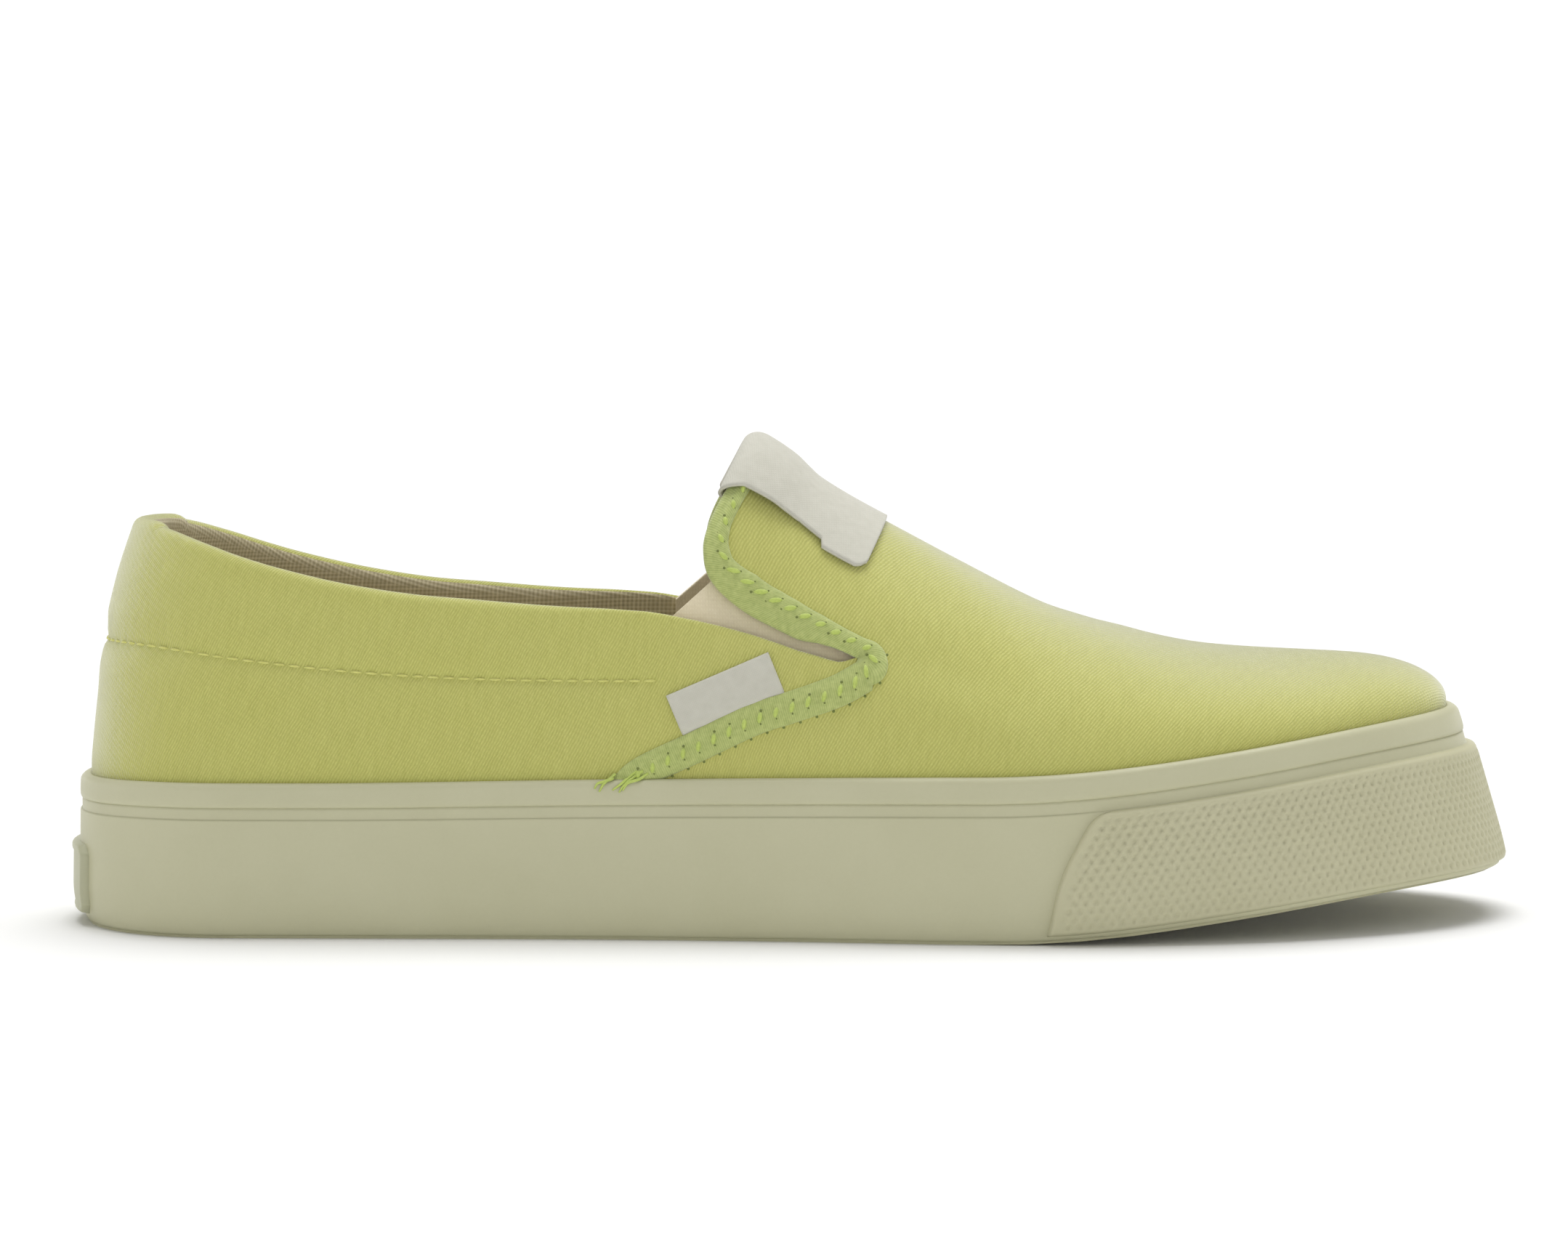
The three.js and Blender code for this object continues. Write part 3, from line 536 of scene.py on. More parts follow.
def on(is_outer, turn):
    """The turn itself on the outer side, or that of its mirror place on the inner one."""
    return turn if is_outer else 2 - turn


def skin(turn, climb, height=0.0, is_outer=True):
    """A point over the canvas by a height, on the outer side or at its mirror place on the inner one."""
    turn, climb, height = np.broadcast_arrays(turn, climb, height)
    real = on(is_outer, turn)
    base = upper_point(real, climb)
    out = relief(base, is_outer) + height
    return base + upper_normal(real, climb) * out[..., None]


def skin_and_normal(turn, climb, height, is_outer):
    return skin(turn, climb, height, is_outer), upper_normal(on(is_outer, turn), climb)


def wall_at(point):
    rise = point[..., 2] - edge_height(point[..., 0])
    share = point[..., 0] / SOLE_LENGTH
    quilt = 25 * (1 - 0.24 * ease(0, 0.36, share))
    puff = ease(quilt, quilt + 0.3 * HEEL_RISE, rise)
    return WALL + COLLAR_PADDING * (1 - ease(0.3, 0.4, share)) * puff


# Meshes


def frame_shift():
    """What moves the unshifted frame into the row's, from the foxing's own box."""
    turns = np.arange(80) / 40
    heights = np.array([FOXING_LIFT, 0.3 * EDGE_ROLL_HEIGHT, EDGE_ROLL_HEIGHT, WALL_TOP])
    rings = wall_point(turns[None], 0.0, heights[:, None]).reshape(-1, 3)
    low, high = (np.array(corner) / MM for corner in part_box("foxing"))
    shift = (low + high) / 2 - (rings.min(0) + rings.max(0)) / 2
    shift[2] = low[2] - rings[:, 2].min()
    return shift


SHIFT = frame_shift()


def place(points):
    return (np.asarray(points) + SHIFT) * MM


def add_object(name, data):
    thing = bpy.data.objects.new(name, data)
    bpy.context.scene.collection.objects.link(thing)
    return thing


class Builder:
    """Collects grids of points into one mesh."""

    def __init__(self):
        self.points, self.faces, self.uvs, self.slots = [], [], [], []
        self.count = 0

    def grid(self, points, uv=None, slot=0, other_uv=None, use_other=None, loop=False):
        """Joins rows of points. Faces in use_other take the other flat place for their weave."""
        rows, columns = points.shape[:2]
        own = np.asarray(points[..., :2] if uv is None else uv, float).reshape(-1, 2)
        index = self.count + np.arange(rows * columns).reshape(rows, columns)
        if loop:
            index = np.concatenate([index, index[:, :1]], 1)
        corners = [index[:-1, :-1], index[:-1, 1:], index[1:, 1:], index[1:, :-1]]
        quads = np.stack(corners, -1).reshape(-1, 4)
        local = quads - self.count
        picked = own[local]
        if use_other is not None:
            other = other_uv.reshape(-1, 2)[local]
            picked = np.where(use_other.reshape(-1)[:, None, None], other, picked)
        slots = np.broadcast_to(slot, (rows - 1, index.shape[1] - 1)).reshape(-1)
        self.points.append(points.reshape(-1, 3))
        self.faces.append(quads)
        self.uvs.append(picked)
        self.slots.append(slots)
        self.count += rows * columns

    def sheet(self, front, back, uv):
        """A thin closed piece: two faces and the four edges between them."""
        self.grid(front, uv)
        self.grid(back, uv)
        for way in (np.s_[:1, :], np.s_[-1:, :], np.s_[:, :1], np.s_[:, -1:]):
            pair = [face[way].reshape(-1, 3) for face in (front, back)]
            self.grid(np.stack(pair), np.stack([uv[way].reshape(-1, 2)] * 2))

    def tube(self, middle, across, other, radius, sides=6):
        """A closed tube round a path, from two directions across it and a radius at each point."""
        angles = np.linspace(0, 2 * np.pi, sides, endpoint=False)[:, None]
        across, other = (np.broadcast_to(way, middle.shape)[:, None] for way in (across, other))
        around = across * np.cos(angles) + other * np.sin(angles)
        points = middle[:, None] + around * np.reshape(radius, (-1, 1, 1))
        uv = np.zeros((len(middle), sides, 2))
        self.grid(points, uv, loop=True)
        for end in (0, -1):
            cap = np.stack([points[end], np.broadcast_to(middle[end], (sides, 3))])
            self.grid(cap, uv[:2], loop=True)

    def make(self, name, materials, slot, *nodes, weld=0.004):
        """The mesh as a piece of the shoe, in place of the named solids."""
        mesh = bpy.data.meshes.new(name)
        points = place(np.concatenate(self.points))
        faces = np.concatenate(self.faces)
        mesh.from_pydata(points.tolist(), [], faces.tolist())
        layer = mesh.uv_layers.new(name="flat")
        layer.data.foreach_set("uv", np.concatenate(self.uvs).reshape(-1).astype(np.float32))
        mesh.polygons.foreach_set("material_index", np.concatenate(self.slots).astype(np.int32))
        shape = bmesh.new()
        shape.from_mesh(mesh)
        bmesh.ops.remove_doubles(shape, verts=shape.verts, dist=weld * MM)
        bmesh.ops.dissolve_degenerate(shape, dist=1e-7, edges=shape.edges)
        bmesh.ops.recalc_face_normals(shape, faces=shape.faces)
        shape.to_mesh(mesh)
        shape.free()
        mesh.polygons.foreach_set("use_smooth", [True] * len(mesh.polygons))
        for material in materials:
            mesh.materials.append(MATERIALS[material])
        mesh.update()
        piece = add_object(name, mesh)
        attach(piece, "root")
        if nodes:
            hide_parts(*nodes)
        return piece


# Materials


class Nodes:
    """Short forms for a node tree."""

    def __init__(self, name):
        self.material = bpy.data.materials.new(name)
        self.material.use_nodes = True
        self.tree = self.material.node_tree
        self.shader = self.tree.nodes["Principled BSDF"]

    def add(self, kind, *inputs, **settings):
        node = self.tree.nodes.new("ShaderNode" + kind)
        for key, value in settings.items():
            setattr(node, key, value)
        for k, value in enumerate(inputs):
            self.set(node.inputs[k], value)
        return node

    def set(self, socket, value):
        if isinstance(value, bpy.types.NodeSocket):
            self.tree.links.new(value, socket)
        elif value is not None:
            socket.default_value = value

    def math(self, operation, *inputs):
        return self.add("Math", *inputs, operation=operation).outputs[0]

    def blend(self, first, share, second, other_share):
        """first times its share, plus second times its own."""
        return self.math("MULTIPLY_ADD", first, share, self.math("MULTIPLY", second, other_share))

    def uv(self):
        split = self.add("SeparateXYZ", self.add("UVMap", uv_map="flat").outputs[0])
        return split.outputs[0], split.outputs[1]

    def wave(self, along, pitch, phase=0.0):
        """A sine from 0 to 1 with a pitch in millimetres."""
        angle = self.math("MULTIPLY_ADD", along, 2 * math.pi / pitch, phase)
        return self.math("MULTIPLY_ADD", self.math("SINE", angle), 0.5, 0.5)

    def noise(self, scale, detail=2.0, stretch=(1, 1, 1), place_by="object"):
        """Noise with its scale in features a millimetre."""
        if place_by == "object":
            source = self.add("TexCoord").outputs["Object"]
            factor = [s * scale / MM for s in stretch]
        else:
            source = self.add("UVMap", uv_map="flat").outputs[0]
            factor = [s * scale for s in stretch]
        mapping = self.add("Mapping", source)
        mapping.inputs["Scale"].default_value = factor
        texture = self.add("TexNoise", mapping.outputs[0])
        texture.inputs["Scale"].default_value = 1.0
        texture.inputs["Detail"].default_value = detail
        return texture.outputs["Fac"]

    def mix(self, factor, first, second):
        node = self.add("Mix", data_type="RGBA")
        self.set(node.inputs["Factor"], factor)
        colors = [socket for socket in node.inputs if socket.type == "RGBA"]
        self.set(colors[0], first)
        self.set(colors[1], second)
        return next(o for o in node.outputs if o.type == "RGBA")

    def bump(self, height, distance, strength=1.0):
        node = self.add("Bump")
        node.inputs["Strength"].default_value = strength
        node.inputs["Distance"].default_value = distance * MM
        self.set(node.inputs["Height"], height)
        self.set(self.shader.inputs["Normal"], node.outputs[0])

    def finish(self, color, roughness, sheen=0.0, sheen_roughness=0.5, coat=0.0):
        self.set(self.shader.inputs["Base Color"], color)
        self.set(self.shader.inputs["Roughness"], roughness)
        self.shader.inputs["Sheen Weight"].default_value = sheen
        self.shader.inputs["Sheen Roughness"].default_value = sheen_roughness
        self.shader.inputs["Coat Weight"].default_value = coat
        self.shader.inputs["Specular IOR Level"].default_value = 0.3
        return self.material


def linear(red, green, blue):
    """A display colour from 0 to 255 as scene values."""
    channels = []
    for value in (red, green, blue):
        c = value / 255
        channels.append(c / 12.92 if c <= 0.04045 else ((c + 0.055) / 1.055) ** 2.4)
    return (*channels, 1.0)


TWILL_PITCH = 0.57
TWILL_ANGLE = math.radians(64)


def canvas_material():
    """Fine twill with steep diagonal ribs, slubs and a soft nap."""
    n = Nodes("canvas")
    u, v = n.uv()
    drift = n.math("MULTIPLY_ADD", n.noise(0.35, 1.0, place_by="uv"), 0.5, 0.0)
    steep = n.math("MULTIPLY", u, math.sin(TWILL_ANGLE))
    across = n.math("MULTIPLY_ADD", v, -math.cos(TWILL_ANGLE), steep)
    ribs = n.wave(n.math("ADD", across, drift), TWILL_PITCH)
    floats = n.wave(n.blend(v, 0.9, u, 0.45), 1.15)
    fuzz = n.noise(2.6, 3.0, place_by="uv")
    slub = n.noise(0.5, 2.0, stretch=(2.2, 0.35, 1), place_by="uv")
    weave = n.math("MULTIPLY", ribs, n.math("MULTIPLY_ADD", floats, 0.35, 0.65))
    shade = n.blend(weave, 0.42, fuzz, 0.34)
    shade = n.math("MULTIPLY_ADD", slub, 0.3, shade)
    cloud = n.noise(0.035, 2.0)
    dark, light = linear(162, 163, 78), linear(210, 209, 124)
    worn = n.mix(n.math("MULTIPLY", cloud, 0.35), light, linear(222, 221, 150))
    color = n.mix(shade, dark, worn)
    height = n.math("MULTIPLY_ADD", fuzz, 0.8, n.math("MULTIPLY_ADD", slub, 0.5, weave))
    n.bump(height, 0.11, 0.8)
    return n.finish(color, 0.9, sheen=1.0, sheen_roughness=0.4)


def lining_material():
    """Plain woven linen with uneven yarns both ways."""
    n = Nodes("lining")
    u, v = n.uv()
    warp = n.math("MULTIPLY", n.wave(u, 0.9), n.noise(0.8, 2.0, (1.6, 0.06, 1), "uv"))
    weft = n.math("MULTIPLY", n.wave(v, 0.9), n.noise(0.8, 2.0, (0.06, 1.6, 1), "uv"))
    weave = n.math("ADD", warp, weft)
    color = n.mix(weave, linear(168, 157, 124), linear(216, 205, 172))
    n.bump(weave, 0.14, 0.8)
    return n.finish(color, 0.93, sheen=0.2)


def tape_material():
    """Soft green tape, finely ribbed across."""
    n = Nodes("binding_tape")
    u, v = n.uv()
    ribs = n.wave(n.math("MULTIPLY_ADD", v, 0.35, u), 0.42)
    fuzz = n.noise(1.1, 4.0)
    shade = n.blend(ribs, 0.25, fuzz, 0.75)
    color = n.mix(shade, linear(136, 150, 78), linear(204, 212, 138))
    n.bump(n.blend(fuzz, 0.9, ribs, 0.5), 0.1, 0.8)
    return n.finish(color, 0.85, sheen=0.35)


def thread_material(name, dark, light):
    n = Nodes(name)
    twist = n.noise(2.2, 2.0)
    n.bump(twist, 0.08, 0.7)
    return n.finish(n.mix(twist, dark, light), 0.6, sheen=0.2)


def elastic_material():
    """Fine smooth elastic knit."""
    n = Nodes("elastic")
    u, v = n.uv()
    ribs = n.math("MULTIPLY", n.wave(u, 0.55), n.wave(v, 0.8))
    fuzz = n.noise(1.4, 2.0)
    shade = n.blend(ribs, 0.3, fuzz, 0.6)
    color = n.mix(shade, linear(216, 203, 172), linear(238, 227, 200))
    n.bump(n.math("MULTIPLY_ADD", fuzz, 0.4, ribs), 0.06, 0.7)
    return n.finish(color, 0.85, sheen=0.2)


def ribbon_material():
    """Smooth woven ribbon, nearly white."""
    n = Nodes("label")
    u, v = n.uv()
    weave = n.math("MULTIPLY", n.wave(u, 0.34), n.wave(v, 0.34, 1.2))
    fuzz = n.noise(0.5, 3.0)
    shade = n.blend(weave, 0.25, fuzz, 0.6)
    color = n.mix(shade, linear(190, 188, 174), linear(213, 211, 199))
    n.bump(n.math("MULTIPLY_ADD", fuzz, 0.5, weave), 0.05, 0.6)
    return n.finish(color, 0.7, sheen=0.15)


def rubber_material(name, dark, light, roughness=0.5):
    """Moulded rubber with a satin skin, faint mottling and a little dust."""
    n = Nodes(name)
    mottle = n.noise(0.05, 3.0)
    grain = n.noise(1.5, 2.0)
    shade = n.blend(grain, 0.25, mottle, 0.75)
    worn = n.math("MULTIPLY_ADD", n.noise(0.25, 3.0), 0.16, roughness - 0.08)
    n.bump(grain, 0.03, 0.5)
    return n.finish(n.mix(shade, dark, light), worn, coat=0.05)


MATERIALS = {
    "canvas": canvas_material(),
    "lining": lining_material(),
    "tape": tape_material(),
    "bright_thread": thread_material("bright_thread", linear(166, 186, 88), linear(200, 214, 116)),
    "canvas_thread": thread_material("canvas_thread", linear(190, 190, 96), linear(222, 220, 138)),
    # Needle holes: a dark colour as painted shade inside the holes.
    "hole_shade": thread_material("needle_hole_shade", linear(96, 108, 48), linear(128, 138, 70)),
    "elastic": elastic_material(),
    "ribbon": ribbon_material(),
    "foxing": rubber_material("foxing_rubber", linear(184, 182, 149), linear(196, 194, 164)),
    "bumper": rubber_material("bumper_rubber", linear(184, 181, 148), linear(196, 193, 162), 0.58),
    "tab": rubber_material("tab_rubber", linear(176, 176, 147), linear(188, 188, 160)),
    "tread": rubber_material("tread_rubber", linear(172, 170, 138), linear(186, 184, 152), 0.7),
}


# Sole pieces


FINE_TURNS = np.arange(480) / 240
OUTLINE_LENGTHS = line_lengths(outline_point(np.append(FINE_TURNS, 2.0)))[:-1]


def corner_round(outward, height, radius, count=5):
    """Section points of an upper outer corner, from the side up and in."""
    turned = np.linspace(0, math.pi / 2, count)
    return [
        (outward - radius * (1 - math.cos(a)), height - radius * (1 - math.sin(a)))
        for a in turned
    ]


def band(name, section, node):
    """A closed rubber band round the sole from a section of (outward, height) points."""
    section = np.array(section)
    rings = wall_point(FINE_TURNS[None], section[:, :1], section[:, 1:])
    rings = np.concatenate([rings, rings[:1]])
    length = np.append(np.linalg.norm(np.diff(section, axis=0), axis=1).cumsum(), 0)
    v = np.concatenate([[0], length[:-1], [length[-2] + 1]])
    uv = np.stack(np.broadcast_arrays(OUTLINE_LENGTHS[None], v[:, None]), -1)
    builder = Builder()
    builder.grid(rings, uv, loop=True)
    return builder.make(name, ["foxing"], "foxing_rubber", node)


def make_foxing():
    wall = [(0.0, h) for h in np.linspace(FOXING_LIFT + 0.6, WALL_TOP - 0.6, 14)]
    section = [
        (-FOXING_THICKNESS, FOXING_LIFT),
        (-0.5, FOXING_LIFT),
        (-0.15, FOXING_LIFT + 0.2),
        *wall,
        *corner_round(0.0, WALL_TOP, 0.4),
        (-BAND_RECESS, WALL_TOP + 0.15),
        (-BAND_RECESS + 0.02, WALL_TOP + 0.5),
        (-BAND_RECESS + 0.05, STRIP_FOOT - 0.6),
        (-BAND_RECESS, STRIP_FOOT + 0.1),
        (-FOXING_THICKNESS, STRIP_FOOT + 0.1),
        (-FOXING_THICKNESS, OUTSOLE_THICKNESS),
    ]
    return band("foxing_wall", section, "foxing")


def make_strip():
    tucked = UPPER_INSET + 0.5
    section = [
        (-tucked, STRIP_FOOT),
        (-0.35, STRIP_FOOT),
        (-0.14, STRIP_FOOT + 0.22),
        (0.0, STRIP_FOOT + 0.7),
        (0.05, STRIP_FOOT + 1.5),
        (0.05, STRIP_FOOT + 2.6),
        *corner_round(0.0, SOLE_HEIGHT + 0.05, 1.5, 7),
        (-tucked, SOLE_HEIGHT - 0.1),
    ]
    return band("foxing_bead", section, "foxing_strip")


# How far the pieces on the wall reach into it
SUNK = 0.25
GRAIN_ALONG = 2.1
GRAIN_UP = 3.15
GRAIN_DEPTH = 0.36
GRAIN_RIDGE = 0.16


def grain(along, up):
    """Relief of the bumper's grain: rows of small pits and ridges slanting across them."""
    a, b = 2 * np.pi * along / GRAIN_ALONG, 2 * np.pi * up / GRAIN_UP
    ridges = 0.5 - 0.5 * np.cos(a + b)
    return GRAIN_RIDGE * ridges - GRAIN_DEPTH * ease(0.1, 1.0, np.cos(a) * np.cos(b))


def make_bumper():
    """The grained rubber round the toe, with its rear edges leaning forward and a round upper corner."""
    low, high = FOXING_LIFT + BUMPER_LIFT, WALL_TOP - 0.1
    heights = np.linspace(low, high, 58)
    rise = (heights - low) / (high - low)
    start_x = SOLE_LENGTH * look_up(BUMPER_END, "at", rise, key="rise")
    into = np.clip(heights - (high - BUMPER_CORNER), 0, BUMPER_CORNER)
    start_x = start_x + BUMPER_CORNER - np.sqrt(BUMPER_CORNER**2 - into**2)
    start = np.arccos(1 - 2 * start_x / SOLE_LENGTH) / np.pi
    turns = np.linspace(start.min(), 2 - start.min(), 1600)
    arc = line_lengths(outline_point(turns))
    first, last = np.interp(start, turns, arc), np.interp(2 - start, turns, arc)
    share = np.linspace(0, 1, 520)
    along = first[:, None] + (last - first)[:, None] * share
    turn = np.interp(along, arc, turns)
    up = np.broadcast_to(heights[:, None], along.shape)
    rear = np.minimum(along - first[:, None], last[:, None] - along)
    top, bottom = high - up, up - low
    edge = np.minimum(np.minimum(rear, top), bottom)
    inside = np.minimum(ease(1.9, 2.7, rear), ease(1.2, 1.9, top))
    inside = np.minimum(inside, ease(0.7, 1.3, bottom))
    thick = (GAP + BUMPER_THICKNESS) * rounded(edge, 0.8) + grain(along, up) * inside
    outer = wall_point(turn, thick, up)
    back = wall_point(turn, -SUNK, up)
    uv = np.stack([along, up], -1)
    builder = Builder()
    builder.sheet(outer, back, uv)
    return builder.make("bumper_grained", ["bumper"], "bumper_rubber", "toe_bumper")


def make_heel_tab():
    """The bare plate at the back of the heel, with cut corners, round edges and a shallow panel."""
    low, high = TAB_LIFT, TAB_LIFT + TAB_HEIGHT
    heights = np.linspace(low, high, 46)
    cut = np.clip(TAB_CORNER - np.minimum(heights - low, high - heights), 0, None)
    half = TAB_WIDTH / 2 - cut
    turns = np.linspace(-0.2, 0.2, 801)
    y = outline_point(turns)[:, 1] - centre_line(np.array(0.0))
    across = np.linspace(-1, 1, 90)[None] * half[:, None]
    turn = np.interp(-across, -y, turns)
    up = np.broadcast_to(heights[:, None], across.shape)
    side = half[:, None] - np.abs(across)
    edge = np.minimum(side, np.minimum(up - low, high - up))
    panel = 0.3 * ease(1.5, 2.1, edge)
    outer = wall_point(turn, (GAP + TAB_THICKNESS) * rounded(edge, 0.6) - panel, up)
    back = wall_point(turn, -SUNK, up)
    uv = np.stack([across, up], -1)
    builder = Builder()
    builder.sheet(outer, back, uv)
    return builder.make("heel_plate", ["tab"], "tab_rubber", "heel_tab")


def make_footbed():
    """The insole, slightly cupped at its rim."""
    inward = -UPPER_INSET - WALL - 0.1
    foot = OUTSOLE_THICKNESS + GAP
    top = foot + INSOLE_THICKNESS
    rim = sole_point(FINE_TURNS, inward, top)
    share = (np.linspace(0, 1, 26) ** 0.8)[:, None, None]
    spine_x = spine_at(outline_x(FINE_TURNS))
    spine = np.stack([spine_x, centre_line(spine_x)], -1)
    flat = rim[None, :, :2] * (1 - share) + spine[None] * share
    level = spring(flat[..., 0]) + top / SOLE_HEIGHT * sole_top(flat[..., 0])
    cup = 1.6 * (1 - ease(0, 0.28, share[..., 0])) - 1.2 * np.exp(-share[..., 0] * 40)
    surface = np.concatenate([flat, (level + cup)[..., None]], -1)
    under = sole_point(FINE_TURNS, inward, foot)
    builder = Builder()
    builder.grid(surface, loop=True)
    builder.grid(np.stack([surface[0], under]), loop=True)
    centre = np.concatenate([flat[-1:], np.full((1, len(FINE_TURNS), 1), under[:, 2].min())], -1)
    builder.grid(np.concatenate([under[None], centre]), loop=True)
    return builder.make("footbed", ["lining"], "lining", "insole")


# The upper


def vamp_uv(turn, climb):
    """The vamp laid flat from the ridge outwards, so that the weave runs along the shoe."""
    spine_x = spine_at(outline_x(turn))
    spine = np.stack([spine_x, centre_line(spine_x)], -1)
    foot = sole_point(turn, -UPPER_INSET, SOLE_HEIGHT)[..., :2]
    reach = rib_length(turn, np.ones_like(climb)) - rib_length(turn, climb)
    return spine + unit(foot - spine) * reach[..., None]


def quarter_uv(turn, climb, is_outer):
    """The quarter laid flat along the foxing's edge."""
    ahead = np.interp(np.minimum(turn, 1), FINE_TURNS, OUTLINE_LENGTHS)
    return np.stack([ahead if is_outer else -ahead, rib_length(turn, climb)], -1)


# The upper's grid: rows under and over the slit, columns behind it, over it and round the toe
ROWS_LOW = 56
ROWS_HIGH = 84
COLUMNS_REAR = 170
COLUMNS_SLIT = 60
COLUMNS_TOE = 110
TURN_AHEAD = 0.62


def near_slit(line, over=9.0):
    """0 at the slit's corner, 1 away from it."""
    return ease(0, over, np.linalg.norm(line - SLIT, axis=1))


def quarter_edge(turns):
    """Where each rib meets the collar, pulled back by the roll of its edge. Returns climbs and rolls."""
    edge = collar_edge()
    wall = wall_at(np.stack([edge[:, 0], 0 * edge[:, 0], edge[:, 1]], -1))
    roll = wall / 2 * near_slit(edge)
    line = edge - np.stack([0 * roll, roll], 1)

    def over(climb):
        point = upper_point(turns, climb)
        return point[:, 2] - np.interp(point[:, 0], line[:, 0], line[:, 1])

    climb = solve_rising(over, 0.0, 0 * turns, 0 * turns + 1)
    x = upper_point(turns, climb)[:, 0]
    return climb, np.interp(x, edge[:, 0], roll)


def flap_edge(count):
    """The vamp's rear edge in turn and climb, pulled forward by the roll of its edge, and the rolls."""
    line = resample(FLAP_LINE, 400)
    roll = WALL / 2 * near_slit(line)
    ahead = line + np.stack([roll, 0 * roll], 1)
    edge = to_ridge(ahead)
    turn, climb = on_side(edge)
    climb[-1] = 1.0
    points = upper_point(turn, climb)
    length = line_lengths(points)
    at = np.linspace(0, length[-1], count)
    rolls = np.interp(edge[:, 1], line[:, 1], roll)
    return (np.interp(at, length, values) for values in (turn, climb, rolls))


def rim(builder, turn, climb, roll, is_outer, uv):
    """Rolls the canvas over the edge of the opening and down to the lining."""
    base = upper_point(on(is_outer, turn), climb)
    wall = wall_at(base)
    outer = skin(turn, climb, 0.0, is_outer)
    inner = skin(turn, climb, -wall, is_outer)
    normal = unit(outer - inner)
    along = unit(np.gradient(outer, axis=0))
    over = unit(np.cross(along, normal)) * (-1 if is_outer else 1)
    middle = (outer + inner) / 2
    angles = np.linspace(0, np.pi, 11)
    rows = [
        middle + normal * (wall / 2 * np.cos(a))[:, None] + over * (roll * np.sin(a))[:, None]
        for a in angles
    ]
    rows[0], rows[-1] = outer, inner
    arc = angles[:, None] * wall[None] / 2
    flat = uv[None] + np.stack([0 * arc, arc], -1)
    slots = (np.arange(10) > 6).astype(int)[:, None]
    builder.grid(np.stack(rows), flat, slot=slots)


def behind_lower_run(point):
    """True where the quarter's own canvas shows, behind the binding's lower run."""
    line = LOWER_LINE[::-1]
    middle = np.interp(point[..., 0] - BINDING_WIDTH * 0.3, line[:, 0], line[:, 1])
    return (point[..., 2] > middle) & (point[..., 0] < SLIT[0]) | (point[..., 0] < line[0, 0])


def half_upper(builder, is_outer):
    """One side of the upper, as an outer face, the lining and the rolled edges between them."""
    [slit_turn], [slit_climb] = on_side(SLIT[None])
    rear = np.linspace(0, slit_turn, COLUMNS_REAR)
    middle = np.linspace(slit_turn, TURN_AHEAD, COLUMNS_SLIT)
    front = np.linspace(TURN_AHEAD, 1, COLUMNS_TOE)
    rear_climb, rear_roll = quarter_edge(rear)
    rear_climb[-1] = slit_climb
    rear_roll[-1] = 0

    turns = np.concatenate([rear, middle[1:], front[1:]])
    tops = np.concatenate([rear_climb, np.full(len(turns) - len(rear), slit_climb)])
    low_turn = np.broadcast_to(turns, (ROWS_LOW, len(turns)))
    low_climb = np.linspace(0, 1, ROWS_LOW)[:, None] * tops

    flap_turn, flap_climb, flap_roll = flap_edge(ROWS_HIGH)
    flap_turn[0], flap_climb[0], flap_roll[0] = slit_turn, slit_climb, 0
    across = np.linspace(0, 1, COLUMNS_SLIT)[None]
    high_turn = flap_turn[:, None] * (1 - across) + TURN_AHEAD * across
    high_turn = np.concatenate([high_turn, np.broadcast_to(front[1:], (ROWS_HIGH, COLUMNS_TOE - 1))], 1)
    high_climb = np.broadcast_to(flap_climb[:, None], high_turn.shape)

    for turn, climb, is_low in ((low_turn, low_climb, True), (high_turn, high_climb, False)):
        real = on(is_outer, turn)
        base = upper_point(real, climb)
        face = skin(turn, climb, 0.0, is_outer)
        lining = skin(turn, climb, -wall_at(base), is_outer)
        flat, other = vamp_uv(real, climb), quarter_uv(turn, climb, is_outer)
        centre = (face[:-1, :-1] + face[1:, 1:]) / 2
        use_other = behind_lower_run(centre) if is_low else np.zeros(centre.shape[:2], bool)
        builder.grid(face, flat, other_uv=other, use_other=use_other)
        builder.grid(lining, other if is_low else flat, slot=1)

    rim(builder, rear, rear_climb, rear_roll, is_outer, quarter_uv(rear, rear_climb, is_outer))
    flap_uv = vamp_uv(on(is_outer, flap_turn), flap_climb)
    rim(builder, flap_turn, flap_climb, flap_roll, is_outer, flap_uv)
    tuck_under(builder, turns, is_outer)


def tuck_under(builder, turns, is_outer):
    """The canvas and the lining below the foxing's edge, closed at their foot."""
    real = on(is_outer, turns)
    foot = OUTSOLE_THICKNESS + GAP
    heights = np.linspace(SOLE_HEIGHT - 1.0, foot, 5)[:, None]
    outer = sole_point(real[None], -UPPER_INSET, heights)
    inner = sole_point(real[None], -UPPER_INSET - WALL, heights)
    face = skin(turns, 0 * turns, 0.0, is_outer)[None]
    lining = skin(turns, 0 * turns, -WALL, is_outer)[None]
    ahead = np.interp(turns, FINE_TURNS, OUTLINE_LENGTHS)[None]
    drop = np.concatenate([[[0.0]], heights - SOLE_HEIGHT])
    uv = np.stack(np.broadcast_arrays(ahead, drop), -1)
    builder.grid(np.concatenate([face, outer]), uv)
    builder.grid(np.concatenate([lining, inner]), uv, slot=1)
    builder.grid(np.stack([outer[-1], inner[-1]]), uv[:2], slot=1)


def make_upper():
    builder = Builder()
    half_upper(builder, True)
    half_upper(builder, False)
    return builder.make("canvas_upper", ["canvas", "lining"], "canvas", "upper", weld=0.01)


# The elastic gussets


